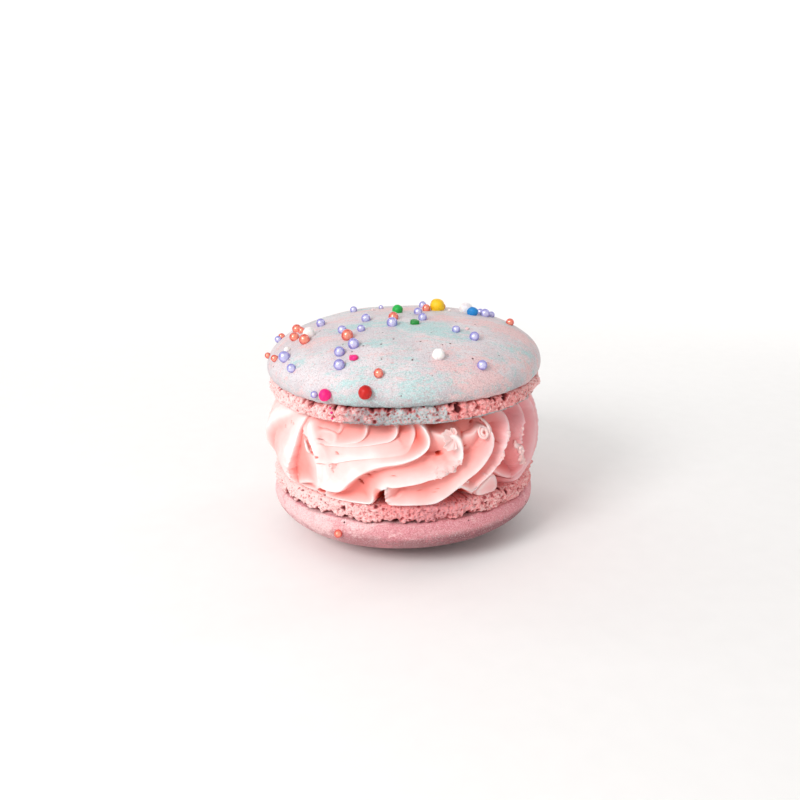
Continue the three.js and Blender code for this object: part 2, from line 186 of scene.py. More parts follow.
# %% [markdown]
# ## Noise for crumbs and pores
# Baked meringue is never even: bubbles burst in its foot and its skin is faintly grained. Two kinds of
# noise give that. Smooth noise blends random numbers that sit on a lattice. Pits are found from random
# points, one in each cell of a lattice: a surface point close to one lies in a round hollow. Both are
# worked out for all the points of a surface at once, and the numbers come from a fixed mixing of whole
# numbers, so each run gives the same crumbs.

# %% Noise
def lattice_value(cells, seed):
    """A number from 0 to 1 for each whole-numbered cell, the same on each run: its three indices times
    large odd numbers are added and their bits mixed."""
    mixed = (cells * np.array([374761393, 668265263, 1442695041])).sum(-1) + seed * 974634777
    mixed = (mixed & 0xFFFFFFFF) ^ ((mixed & 0xFFFFFFFF) >> 13)
    mixed = (mixed * 1274126177) & 0xFFFFFFFF
    return ((mixed ^ (mixed >> 16)) & 0xFFFFFF) / 0xFFFFFF


def smooth_noise(points, cell, seed):
    """Noise from -1 to 1: the values of a cell's eight corners, blended by a curve that is flat at each
    end."""
    scaled = points / cell
    base = np.floor(scaled).astype(np.int64)
    share = scaled - base
    share = share * share * (3 - 2 * share)
    total = np.zeros(len(points))
    for corner in np.ndindex(2, 2, 2):
        weight = np.where(np.array(corner) == 1, share, 1 - share).prod(-1)
        total += weight * lattice_value(base + np.array(corner), seed)
    return 2 * total - 1


def octaves(points, parts, seed):
    """Sum of smooth noises, each given by its cell and height, with seeds that count up."""
    return sum(height * smooth_noise(points, cell, seed + i) for i, (cell, height) in enumerate(parts))


def ramp(value, start, end):
    """0 up to start, 1 from end on, and straight between; end may be the lower one."""
    return np.clip((value - start) / (end - start), 0, 1)


def pits(points, cell, reach, share, seed):
    """Depth of round hollows, 0 to 1: one centre in each cell, of which only the given share is open, with
    a radius of up to reach cells. The depth is 1 at a centre and falls to 0 with the square of the
    distance."""
    scaled = points / cell
    base = np.floor(scaled).astype(np.int64)
    deepest = np.zeros(len(points))
    for offset in np.ndindex(3, 3, 3):
        near = base + np.array(offset) - 1
        centre = near + np.stack([lattice_value(near, seed + axis) for axis in range(3)], -1)
        size = lattice_value(near, seed + 3)
        radius = np.where(size < share, reach * (0.45 + 0.55 * size / share), 1e-6)
        away = ((scaled - centre) ** 2).sum(-1) / radius**2
        deepest = np.maximum(deepest, 1 - away)
    return deepest


sample = np.random.default_rng(1).uniform(0, 20, (5000, 3))
print("noise spread", round(float(smooth_noise(sample, 1.5, 1).std()), 2),
      "share in pits", round(float((pits(sample, 1.2, 0.5, 0.5, 2) > 0).mean()), 2))

# %% [markdown]
# ## The meringue shells
# A shell was piped as a round of batter that settled into a dome, dried to a skin, and then lifted in the
# oven on its foot: the batter that bubbled out under the skin. One profile, turned round the axis, gives
# the form: a dome squarer than an ellipse, a quarter turn under the rim, a notch, and the foot. Turning
# alone would look lathed, so the rim is a little out of round, the foot is ruffled by waves, and noise and
# pits break it up. The grid is finest on the foot, where the crumbs are about half a millimetre.

# %% Profile of a shell
def dome_height(shell, distance):
    """Height of the cap over its widest ring: the dome's height times the square root of 1 - (distance /
    radius) ** fullness, scaled up and cut level where the shell has a flat spot."""
    full = shell["dome"] / math.sqrt(1 - (shell["flat"] / shell["radius"]) ** shell["fullness"])
    share = np.clip(1 - (distance / shell["radius"]) ** shell["fullness"], 0, None)
    return np.minimum(shell["dome"], full * np.sqrt(share))


def waves(angle, parts):
    """Sum of sine waves, each with a whole number of waves in a turn, so that the ring closes."""
    return sum(height * np.sin(count * angle + phase) for count, height, phase in parts)


ROWS = {"dome": 38, "turn": 9, "foot": 42, "under": 3}
SHELL_COLUMNS = 1000
FOOT_TUCK = 0.8  # how far the foot curls in at its bottom


def shell_profile(shell):
    """Distance from the axis and height of each row, from the middle of the cap to the middle of the
    underside, and how far down the foot it lies, from 0 to 1, or -1 on the cap. The crevice isn't cut
    yet."""
    radius, under = shell["radius"], shell["turn_under"]
    rise = np.linspace(math.pi / 2 * 0.995, 0, ROWS["dome"])
    dome_r = radius * np.cos(rise) ** (2 / shell["fullness"])
    turn = np.linspace(0, math.pi / 2, ROWS["turn"] + 1)[1:]
    turn_r, turn_z = radius - TURN_IN * (1 - np.cos(turn)), -under * np.sin(turn)
    down = np.linspace(0, 1, ROWS["foot"] + 1)[1:]
    foot_r = radius - shell["foot_inset"] - FOOT_TUCK * np.clip((down - 0.75) / 0.25, 0, 1) ** 2
    foot_z = -under - shell["foot_height"] * down
    under_r = np.linspace(foot_r[-1], 0.3, ROWS["under"] + 1)[1:]
    under_z = np.full(ROWS["under"], foot_z[-1])
    on_foot = np.concatenate([np.full(ROWS["dome"] + ROWS["turn"], -1.0), down, np.ones(ROWS["under"])])
    return (np.concatenate([dome_r, turn_r, foot_r, under_r]),
            np.concatenate([dome_height(shell, dome_r), turn_z, foot_z, under_z]), on_foot)


profile_r, profile_z, _ = shell_profile(UPPER)
print("profile of", len(profile_r), "rows, widest", profile_r.max(), "mm, from", round(profile_z.min(), 1),
      "to", round(profile_z.max(), 1), "mm")

# %% Surface of a shell
NOTCH = {"depth": 0.9, "share": 0.12}  # the crevice: depth in mm, and its share of the foot's height
CRUMBS = [(1.6, 0.3), (0.8, 0.28), (0.42, 0.24), (0.25, 0.14)]  # size and height in mm of the foot's crumbs
# Open bubbles of the foot: size of a cell, reach, share of them that is open, and depth.
BUBBLES = [(1.5, 0.42, 0.2, 0.6), (0.85, 0.5, 0.45, 0.42), (0.5, 0.55, 0.5, 0.3)]
SWELL = [(9.0, 0.16), (4.0, 0.05), (0.7, 0.012)]  # the skin's faint unevenness
WOBBLE = [(2.6, 0.2), (0.9, 0.1)]  # how the skin's lower edge goes up and down
GAPE, JAGGED = [(2.4, 0.9), (0.9, 0.7)], [(1.4, 1.0), (0.5, 0.7)]  # noise in the crevice's depth and height
INNER = 18  # mm from the axis, up to where the underside is left plain


def crumbly(points, seed):
    """How far a foot's crumb stands out, and how deep its bubbles are, in mm. Crumbs are the absolute value
    of smooth noise, rounded on top and creased between. All is read at places pushed by noise, so that no
    bubble is round."""
    pushed = points + 0.25 * np.stack([smooth_noise(points, 0.7, seed + 30 + axis) for axis in range(3)], -1)
    crumb = sum(height * (np.abs(smooth_noise(pushed, size, seed + i)) - 0.3)
                for i, (size, height) in enumerate(CRUMBS))
    bubble = np.zeros(len(points))
    for i, (cell, reach, share, depth) in enumerate(BUBBLES):
        bubble = np.maximum(bubble, depth * np.sqrt(pits(pushed, cell, reach, share, seed + 10 * (i + 1))))
    return crumb, bubble


def shell_surface(shell, phase, seed):
    """Points of a shell with its cap up, as (rows, columns, 3), and for each its share of skin and its
    pore, the painted shade of its bubbles and crevice."""
    radius, height, on_foot = shell_profile(shell)
    angle = np.linspace(0, 2 * math.pi, SHELL_COLUMNS, endpoint=False)[None, :]
    foot = np.broadcast_to(on_foot[:, None], (len(radius), SHELL_COLUMNS))
    ring = radius[:, None] + waves(angle + phase, OUT_OF_ROUND) * (radius / shell["radius"])[:, None]
    outward = np.stack([np.sin(angle) + 0 * ring, -np.cos(angle) + 0 * ring, 0 * ring], -1)
    points = outward * ring[..., None] + np.array([0, 0, 1.0]) * height[:, None, None]
    flat = points.reshape(-1, 3)

    on_side = (foot >= 0) & (ring > INNER)
    crumb, bubble = np.zeros(ring.shape), np.zeros(ring.shape)
    crumb[on_side], bubble[on_side] = crumbly(points[on_side], seed)
    rim = outward[0] * shell["radius"]
    widest, spread, least = shell["gape"]
    aside = np.abs((angle[0] - widest + math.pi) % (2 * math.pi) - math.pi)
    gape = (0.8 + octaves(rim, GAPE, seed + 60)) * (least + (1 - least) * np.exp(-(aside / spread) ** 4))
    tall = NOTCH["share"] * np.clip(1 + 1.1 * octaves(rim, JAGGED, seed + 62), 0.4, 2.6)
    closeness = np.exp(-(np.clip(foot, 0, None) / tall) ** 2) * (foot >= 0)
    # Painted shade in the crevice, reaching a little further down the foot than the notch.
    crevice_shade = np.exp(-(np.clip(foot, 0, None) / (1.6 * tall)) ** 2) * (foot >= 0)
    notch = (TURN_IN + NOTCH["depth"] * np.clip(gape, 0, 1.7)) * closeness
    fade = np.clip(foot / 0.05, 0, 1) * on_side
    ruffle = waves(angle + phase - RUFFLE_TWIST * shell["foot_height"] * foot, RUFFLE)
    push = fade * (ruffle + crumb - bubble * (1 - 0.3 * np.clip(foot, 0, 1))) - notch

    swell = octaves(flat, SWELL, seed + 50).reshape(ring.shape) * (foot < 0)
    steep = np.clip(ring / shell["radius"], 0, 1) ** 3
    points = points + outward * (push + swell * steep)[..., None]
    at_edge = np.where(foot < 0, np.clip(-height / shell["turn_under"], 0, 1)[:, None] ** 2, 1 - foot)
    points[..., 2] += swell * (1 - steep) + octaves(rim, WOBBLE, seed + 70) * at_edge
    if shell["flat"]:
        points[..., 2] = np.minimum(points[..., 2], shell["dome"])
    # pore: painted shade, darker in the bubbles by their depth and in the crevice where it gapes.
    dark = np.clip(0.95 * bubble * fade / BUBBLES[0][3] + np.clip(gape, 0, 1.4) * crevice_shade, 0, 1)
    return points, (foot < 0).astype(float), dark


def closed_rows(points):
    """Points of a grid of rows round an axis plus one at each end on it, and the faces that close it. Rows
    run down and columns to the right, seen from outside, so the faces are turned to point outwards."""
    rows, columns = points.shape[:2]
    ends = points[[0, -1]].mean(1)
    column = np.arange(columns)
    beside = (column + 1) % columns
    last = (rows - 1) * columns
    quads = grid_faces(rows, columns, closed=True)[:, ::-1]
    top = np.stack([column, beside, np.full(columns, rows * columns)], -1)
    bottom = np.stack([last + beside, last + column, np.full(columns, rows * columns + 1)], -1)
    return np.concatenate([points.reshape(-1, 3), ends]), quads, np.concatenate([top, bottom])


def store(piece, name, values):
    """Keeps one number for each point of a piece's mesh, which its material reads by name."""
    attribute = piece.data.attributes.new(name, "FLOAT", "POINT")
    attribute.data.foreach_set("value", np.asarray(values, np.float32).ravel())


def shell_piece(name, shell, phase, seed, place):
    """One shell as a mesh object, its points moved by place, with skin and pore, the painted shade of its
    bubbles and crevice, kept for its material, and its points in the shell's own frame."""
    points, skin, pore = shell_surface(shell, phase, seed)
    flat, quads, ends = closed_rows(points)
    made = mesh_object(name, place(flat), quads, ends)
    store(made, "skin", np.append(skin, [1, 0]))
    store(made, "pore", np.append(pore, [0, 0]))
    print(name, len(flat), "points,", 2 * len(quads) + len(ends), "triangles")
    return made, flat


def place_upper(points):
    """From the upper shell's own frame: a roll about Y, then up."""
    x, y, z = points.T
    turn_cos, turn_sin = math.cos(UPPER_ROLL), math.sin(UPPER_ROLL)
    rolled = np.stack([x * turn_cos + z * turn_sin, y, -x * turn_sin + z * turn_cos], -1)
    return rolled + np.array([0, 0, UPPER["rim_height"]])


def place_lower(points):
    """From the lower shell's own frame: half a turn about X, which puts the dome down, then up."""
    return points * np.array([1, -1, -1]) + np.array([0, 0, LOWER["rim_height"]])

# %% Make both shells
upper_meringue, upper_points = shell_piece("upper_meringue", UPPER, UPPER_PHASE, 100, place_upper)
lower_meringue, lower_points = shell_piece("lower_meringue", LOWER, LOWER_PHASE, 200, place_lower)
for piece, node in ((upper_meringue, "upper_shell"), (lower_meringue, "lower_shell")):
    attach(piece, "root")
    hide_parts(node)
    print(piece.name, "stands for", node)

# %% [markdown]
# ## Materials: helpers
# Colours are given as the usual six hex digits and turned into the linear light that the shader works with.
# Every pattern reads positions in millimetres, so the scale of a pattern is one over its real size.

# %% Material helpers
def linear(hex_colour):
    """Linear red, green, blue and 1 from six sRGB hex digits, by the standard's curve."""
    shares = [int(hex_colour[i:i + 2], 16) / 255 for i in (0, 2, 4)]
    return [share / 12.92 if share <= 0.04045 else ((share + 0.055) / 1.055) ** 2.4
            for share in shares] + [1.0]


def add(tree, kind, *values, output=0, **named):
    """Adds a shader node and gives one of its outputs, by number or name. The values go into its inputs in
    their order, and None leaves one alone. What is named goes into the node's setting of that name, or else
    into the input."""
    node = tree.nodes.new("ShaderNode" + kind)
    for name in [name for name in named if hasattr(node, name)]:
        setattr(node, name, named.pop(name))
    for name, value in [*enumerate(values), *named.items()]:
        if isinstance(value, bpy.types.NodeSocket):
            tree.links.new(value, node.inputs[name])
        elif value is not None:
            node.inputs[name].default_value = value
    return node.outputs[output] if len(node.outputs) else node


def new_material(name, *pieces):
    """An empty material on some pieces: its node tree and the position in mm."""
    material = bpy.data.materials.new(name)
    material.use_nodes = True
    tree = material.node_tree
    tree.nodes.clear()
    for piece in pieces:
        piece.data.materials.append(material)
    place = add(tree, "TexCoord", output="Object")
    return tree, add(tree, "VectorMath", place, operation="SCALE", Scale=1 / MM)


def finish_material(tree, shader_inputs):
    """The shader and the output at the end of a material."""
    add(tree, "OutputMaterial", add(tree, "BsdfPrincipled", **shader_inputs))


SMOOTH = {"interpolation_type": "SMOOTHSTEP"}  # a range that eases in and out


def layered(tree, colour, layers):
    """Tints laid over a colour in turn. Each covers a share that rises from 0 to most as its source goes
    from low to high."""
    for source, low, high, most, tint in layers:
        share = add(tree, "MapRange", source, low, high, 0.0, most, **SMOOTH)
        colour = add(tree, "MixRGB", share, colour, tint)
    return colour


print("linear light of mid grey:", round(linear("808080")[0], 3))

# %% [markdown]
# ## Baked almond meringue
# Both shells are whipped egg white with ground almonds and icing sugar, dried to a skin and baked at a low
# heat. The skin is smooth and matte, with a faint grit of almond and a few burst bubbles as pinholes.
# Batters of several tints were swirled together in the bag, so the upper cap is grey-lilac with dusty
# clouds of mint and rose. The foot never had a skin: it is a matte crumb of open bubbles, darkest inside
# them, where light has bounced most.

# %% Clouds of tint
# Centre x and y, half-widths across and along, and strength, in the upper shell's own frame, in mm.
MINT_CLOUDS = [
    (-3.8, -6.3, 4.5, 2.2, 0.95), (2.2, -10.5, 4.2, 2.6, 0.75), (7.9, -12.6, 4.2, 2.4, 0.8),
    (4.7, -8.6, 4.5, 2.6, 0.7), (-5.3, -15.3, 2.6, 1.6, 0.8), (-2.0, -16.5, 3.0, 1.4, 0.7),
    (-9.5, -7.4, 4.0, 1.6, 0.85), (-16.5, -14.6, 2.6, 1.5, 0.8), (18.2, -12.2, 2.4, 1.6, 0.6),
    (21.5, -10.2, 1.8, 1.8, 0.7), (16.1, -16.6, 2.6, 1.6, 0.5), (-8.5, -20.5, 4.0, 2.0, 0.35),
    (1.0, -20.5, 4.0, 2.0, 0.4), (-9.0, -23.4, 5.0, 1.8, 0.6), (1.5, -24.2, 5.5, 2.0, 0.7),
    (9.0, -22.5, 5.0, 1.8, 0.15), (-1.5, -1.0, 3.0, 1.6, 0.5), (8.5, 3.0, 4.0, 2.4, 0.5),
    (-8.0, 9.0, 5.0, 2.6, 0.6), (6.0, 14.0, 5.0, 3.0, 0.7), (-15.0, 4.0, 3.4, 2.4, 0.5),
    (15.0, 8.0, 3.6, 2.4, 0.6), (-3.0, 19.0, 4.6, 2.2, 0.6), (19.0, 1.0, 2.4, 3.0, 0.4),
]
ROSE_CLOUDS = [
    (15.3, -4.4, 6.0, 3.0, 1.0), (21.0, -4.3, 3.0, 3.6, 0.9), (9.0, -3.0, 3.6, 1.8, 0.8),
    (13.8, -19.5, 4.0, 2.4, 0.7), (21.2, -13.0, 2.4, 2.2, 0.6), (-7.5, -17.0, 2.8, 1.4, 0.4),
    (-14.0, -11.7, 3.6, 2.0, 0.35), (1.5, 5.0, 4.5, 2.6, 0.9), (-4.5, 6.5, 4.0, 2.4, 0.8),
    (8.0, -18.0, 5.0, 2.0, 0.45), (-12.0, -2.0, 4.5, 2.4, 0.5), (12.0, 12.0, 4.0, 2.6, 0.6),
    (-16.0, 12.0, 4.0, 3.0, 0.7), (2.0, 21.0, 5.0, 2.4, 0.6), (-21.0, -1.0, 2.6, 4.0, 0.4),
    (20.0, 6.0, 3.0, 3.0, 0.5), (9.5, -22.3, 5.0, 2.0, 0.8),
]


def clouds(points, parts):
    """Sum of soft ovals over x and y: strength times exp(-distance ** 2), the distance counted in
    half-widths."""
    total = np.zeros(len(points))
    for x, y, across, along_y, strength in parts:
        total += strength * np.exp(-((points[:, 0] - x) / across) ** 2 - ((points[:, 1] - y) / along_y) ** 2)
    return total


def ring_azimuth(points):
    """Azimuth in degrees from the front, above 0 to the right."""
    return np.degrees(np.arctan2(points[:, 0], -points[:, 1]))


def bell(value, middle, spread):
    """1 in the middle, falling to both sides as exp(-((value - middle) / spread) ** 2)."""
    return np.exp(-((value - middle) / spread) ** 2)


print(len(MINT_CLOUDS), "clouds of mint and", len(ROSE_CLOUDS), "of rose")

# %% Tint of the upper shell
# The foot is mint in front, at its lower edge from the left on, in one spot at the right, and in three runs
# behind.
on_cap = upper_points[:, 2] > -UPPER["turn_under"] - 0.01
azimuth = ring_azimuth(upper_points)
foot_down = np.clip((-UPPER["turn_under"] - upper_points[:, 2]) / UPPER["foot_height"], 0, 1)
ragged = 5 * smooth_noise(upper_points, 3.0, 61) + 4 * smooth_noise(upper_points, 1.0, 62)
in_front = np.clip((20.0 - np.abs(azimuth + 1.5 + ragged)) / 8, 0, 0.95)
low_edge = np.clip((foot_down - 0.78) / 0.1 + 0.05 * ragged, 0, 1) * (azimuth > -24)
spot = 0.8 * bell(azimuth, 59, 3.5) * bell(foot_down, 0.8, 0.4)
behind = 0.7 * ramp(np.cos(np.radians(3 * azimuth + 40)), 0.55, 0.75) * (np.abs(azimuth) > 90)
minty = np.max([in_front, low_edge, spot, behind], 0)
store(upper_meringue, "mint", np.where(on_cap, 0.22 + 0.85 * clouds(upper_points, MINT_CLOUDS), minty))

# It is palest at the far left and the far right.
pale = 0.15 + 0.2 * ramp(azimuth, 20, 10) + 0.4 * ramp(azimuth, -22, -52) + 0.45 * ramp(azimuth, 48, 66)
store(upper_meringue, "rose", np.where(on_cap, 0.3 + 0.75 * clouds(upper_points, ROSE_CLOUDS), pale))

# Painted shade: the cap is coloured darker towards its rim, most in front, as the shade under the rim, and
# the foot has one darker place.
rim_share = np.clip((2.6 - upper_points[:, 2]) / (2.6 + UPPER["turn_under"]), 0, 1) ** 1.6
rim_shade = rim_share * np.clip(1.0 - np.abs(azimuth - 5) / 75, 0.25, 1)
rim_shade = rim_shade * (0.8 + 0.35 * smooth_noise(upper_points, 2.0, 63))
foot_dusk = 0.75 * bell(azimuth, -14, 9) * np.clip(0.6 + 1.6 * smooth_noise(upper_points, 1.2, 64), 0, 1)
store(upper_meringue, "edge", np.where(on_cap, np.clip(1.15 * rim_shade, 0, 0.95), foot_dusk))
print("mint on", round(float(minty[~on_cap].mean()), 2), "of the upper foot")

# %% Tint of the lower shell
# On this one, mint stands for a paler pink on the cap, painted light on its left, and for a darker rose on
# the foot, painted shade in the middle of its front and to the right. Rose stands for a darker rose on the
# cap, painted shade on its right, and for a paler pink on the foot, painted light towards the left, and paler
# behind. The cap is painted darker underneath, most on the right, as the shade under it, in edge.
on_cap = lower_points[:, 2] > -LOWER["turn_under"] - 0.01
azimuth = ring_azimuth(place_lower(lower_points))
shade_to_right = ramp(azimuth, -40, 20) * ramp(azimuth, 180, 120)
shaded_underneath = ramp(lower_points[:, 2], -0.2, 1.2) * (0.35 + 0.65 * shade_to_right)
lit_left_of_cap = (1 - shade_to_right) * (1 - shaded_underneath)
shaded_front_of_foot = 0.6 * bell(azimuth, 8, 26) + 0.1 * shade_to_right
shaded_right_of_cap = (0.3 + 0.6 * shade_to_right) * (1 - shaded_underneath)
sides_of_foot = np.maximum(np.clip(0.2 - azimuth / 60, 0.2, 1), ramp(azimuth, 120, 180))
mint = np.where(on_cap, lit_left_of_cap, shaded_front_of_foot) + 0.2 * smooth_noise(lower_points, 5.0, 71)
rose = np.where(on_cap, shaded_right_of_cap, sides_of_foot) + 0.25 * smooth_noise(lower_points, 6.0, 72)
for name, values in (("mint", mint), ("rose", rose), ("edge", 0.9 * shaded_underneath)):
    store(lower_meringue, name, values)
print("paler pink on", round(float(mint[on_cap].mean()), 2), "of the lower cap")

# %% Baked meringue
# edge, pore and deep_pore are painted shade: edge at the upper cap's rim and under the lower shell, and on
# one darker place of the upper foot; pore and deep_pore in the bubbles, the pinholes and the crevice. On the
# lower shell, mint and foot_light are paler, painted light on the left; rose is painted shade on the right of
# the cap, and foot_mint painted shade in front and on the right of the foot.
MERINGUE = {
    "upper": {"skin": "CEC6CA", "skin_light": "DAD3D6", "mint": "A9CFCE", "rose": "E8BDBC",
              "speck": "8A7B80", "fleck": "CB8085", "edge": "7C8286", "foot": "F09896",
              "foot_light": "FAD4D1", "foot_mint": "AEBDBE", "pore": "BE4C4C", "deep_pore": "5A1D20"},
    "lower": {"skin": "DD9B9F", "skin_light": "E7B3B5", "mint": "F0CACA", "rose": "D88790",
              "speck": "96575E", "fleck": "C26C74", "edge": "7C444C", "foot": "EB9595",
              "foot_light": "FBD3D0", "foot_mint": "C8828A", "pore": "B4484C", "deep_pore": "501B20"},
}
SWEEP = (0.4, 1.0, 1.0)  # batter was swept across the cap, so its clouds are drawn out to the sides
CLOUDY = {"Detail": 6.0, "Roughness": 0.7}


def baked_meringue(name, piece, tints):
    """Matte meringue: a gritty, clouded skin and a crumbly foot, told apart by the attributes of the
    mesh, with painted shade from the attributes edge and pore."""
    tree, place = new_material(name, piece)
    skin, pore, mint, rose, edge = [add(tree, "Attribute", attribute_name=kind, output="Fac")
                                    for kind in ("skin", "pore", "mint", "rose", "edge")]
    tint = {part: linear(colour) for part, colour in tints.items()}
    swept = add(tree, "Mapping", place, Scale=SWEEP)
    aside = add(tree, "Mapping", place, Scale=SWEEP, Location=(40.0, 0.0, 7.0))
    mint_cloud = add(tree, "TexNoise", swept, Scale=1 / 1.6, **CLOUDY)
    rose_cloud = add(tree, "TexNoise", aside, Scale=1 / 1.8, **CLOUDY)
    dust = add(tree, "TexNoise", place, Scale=1 / 0.45, Detail=3.0, Roughness=0.7)
    grit = add(tree, "TexNoise", place, Scale=1 / 0.2, Detail=1.0)
    broad = add(tree, "TexNoise", place, Scale=1 / 6.0, Detail=3.0)
    flecks = add(tree, "TexNoise", aside, Scale=1 / 0.34, Detail=2.0)

    # A cloud's noise plus some dust, which breaks up its border, plus its share of the cap.
    dusty_rose, dusty_mint = [
        add(tree, "Math", share, 0.32, add(tree, "Math", dust, 0.55, cloud, operation="MULTIPLY_ADD"),
            operation="MULTIPLY_ADD") for cloud, share in ((rose_cloud, rose), (mint_cloud, mint))]
    base = layered(tree, tint["skin"], [(broad, 0.4, 0.62, 1.0, tint["skin_light"])])
    # Painted shade: darker towards the upper cap's rim and under the lower shell, where edge is high.
    base = add(tree, "MixRGB", edge, base, tint["edge"])
    base = layered(tree, base, [
        (dusty_rose, 0.86, 1.1, 0.8, tint["rose"]), (dusty_mint, 0.9, 1.12, 0.85, tint["mint"]),
        (flecks, 0.6, 0.72, 0.45, tint["fleck"]), (grit, 0.5, 0.75, 0.4, tint["speck"]),
        # The palest specks of the grit are painted glints.
        (grit, 0.5, 0.25, 0.28, linear("F8F3F3"))])

    # Burst bubbles in the skin, about 0.3 mm across: three in ten of the cells of 1.6 mm have one, painted
    # dark as the shade inside it.
    from_hole = add(tree, "TexVoronoi", place, Scale=1 / 1.6)
    hole_kind = add(tree, "SeparateColor", from_hole.node.outputs["Color"])
    is_open = add(tree, "Math", hole_kind, 0.7, operation="GREATER_THAN")
    in_hole = add(tree, "Math", add(tree, "MapRange", from_hole, 0.08, 0.13, 1.0, 0.0, **SMOOTH), is_open,
                  operation="MULTIPLY")
    base = add(tree, "MixRGB", in_hole, base, tint["deep_pore"])

    # The foot's crumb has bubbles too small for its mesh, 0.3 to 0.6 mm across, painted dark as the shade
    # inside them.
    push = add(tree, "TexNoise", Scale=1 / 0.6, Vector=place, output="Color")
    pushed = add(tree, "MixRGB", 0.06, place, push, blend_type="ADD")
    fine = [add(tree, "TexVoronoi", pushed, Scale=1 / size) for size in (0.8, 0.45)]
    nearest = add(tree, "Math", *fine, operation="MINIMUM")
    small_pore = add(tree, "MapRange", nearest, 0.1, 0.3, 1.0, 0.0, **SMOOTH)
    paler = add(tree, "Math", rose, 0.35, dust, operation="MULTIPLY_ADD")
    faint = add(tree, "Math", mint, 0.6, operation="MULTIPLY")
    minty = add(tree, "Math", dust, 1.1, faint, operation="MULTIPLY_ADD")
    crumb = layered(tree, tint["foot"], [
        (paler, 0.5, 0.78, 1.0, tint["foot_light"]), (minty, 0.75, 1.25, 1.0, tint["foot_mint"])])
    # The upper foot's one darker place, from edge.
    crumb = add(tree, "MixRGB", edge, crumb, tint["edge"])
    # Painted shade: the fine bubbles, the deep bubbles and the crevice darkened to pore and deep_pore.
    crumb = layered(tree, crumb, [
        (small_pore, 0.0, 1.0, 0.55, tint["pore"]), (pore, 0.15, 0.6, 0.85, tint["pore"]),
        (pore, 0.5, 0.95, 1.0, tint["deep_pore"])])

    rough = add(tree, "Math", small_pore, -4.0, grit, operation="MULTIPLY_ADD")
    smooth = add(tree, "Math", in_hole, -3.0, grit, operation="MULTIPLY_ADD")
    relief_height = add(tree, "Mix", skin, None, rough, smooth, data_type="FLOAT")
    finish_material(tree, {
        "Base Color": add(tree, "MixRGB", skin, crumb, base), "Specular IOR Level": 0.3,
        "Roughness": add(tree, "MapRange", skin, 0.0, 1.0, 0.9, 0.62, **SMOOTH),
        "Normal": add(tree, "Bump", Height=relief_height, Strength=0.6, Distance=0.06 * MM)})
    print(name, "with", len(tree.nodes), "nodes")


baked_meringue("baked_meringue_lilac_swirled", upper_meringue, MERINGUE["upper"])
baked_meringue("baked_meringue_rose", lower_meringue, MERINGUE["lower"])

# %% [markdown]
# ## The piped buttercream
# The filling was piped in one round through an open star nozzle, with a circling hand, so its side is a row
# of overlapping petals: each has a thin crest, a face that falls away behind it, and a steep drop in front,
# down to the face of the next. A petal is one curve on the side of the filling, its edge, given by a few
# stations of azimuth and height. Every point of the side is then as deep as the highest of the surfaces
# that the petals make there. The columns of the grid follow the edges, so a crest always lies on a line of
# points and stays sharp.

# %% Sizes of the buttercream
CREST = {"radius": 25.8, "height": 18.8, "fall": 1.9, "reach": 6.2}
SHARP_DROP, SOFT_DROP = (2.6, 0.1), (0.6, 1.2)  # slope and rounding in front of a crest
CORE_DEPTH = 4.6
BLEND = 0.2
SIDE_RADIUS = 24.6  # turns azimuths into lengths along the side
SIDE_TURN = 2 * math.pi * SIDE_RADIUS
LEAST_PITCH = 0.8  # between two edges
CREAM_BOTTOM = LOWER["rim_height"] + LOWER_DEPTH + 0.02
CREAM_TOP = UPPER["rim_height"] - UPPER_DEPTH - 0.02
PETAL_TRAITS = {"inset": 0.0, "depth": 2.4, "width": 1.7, "floor": 0.08, "soft": 0.0, "ragged": 0.0,
                "reach": 8.0, "face_shade": 0.25, "drop_shade": 0.0}
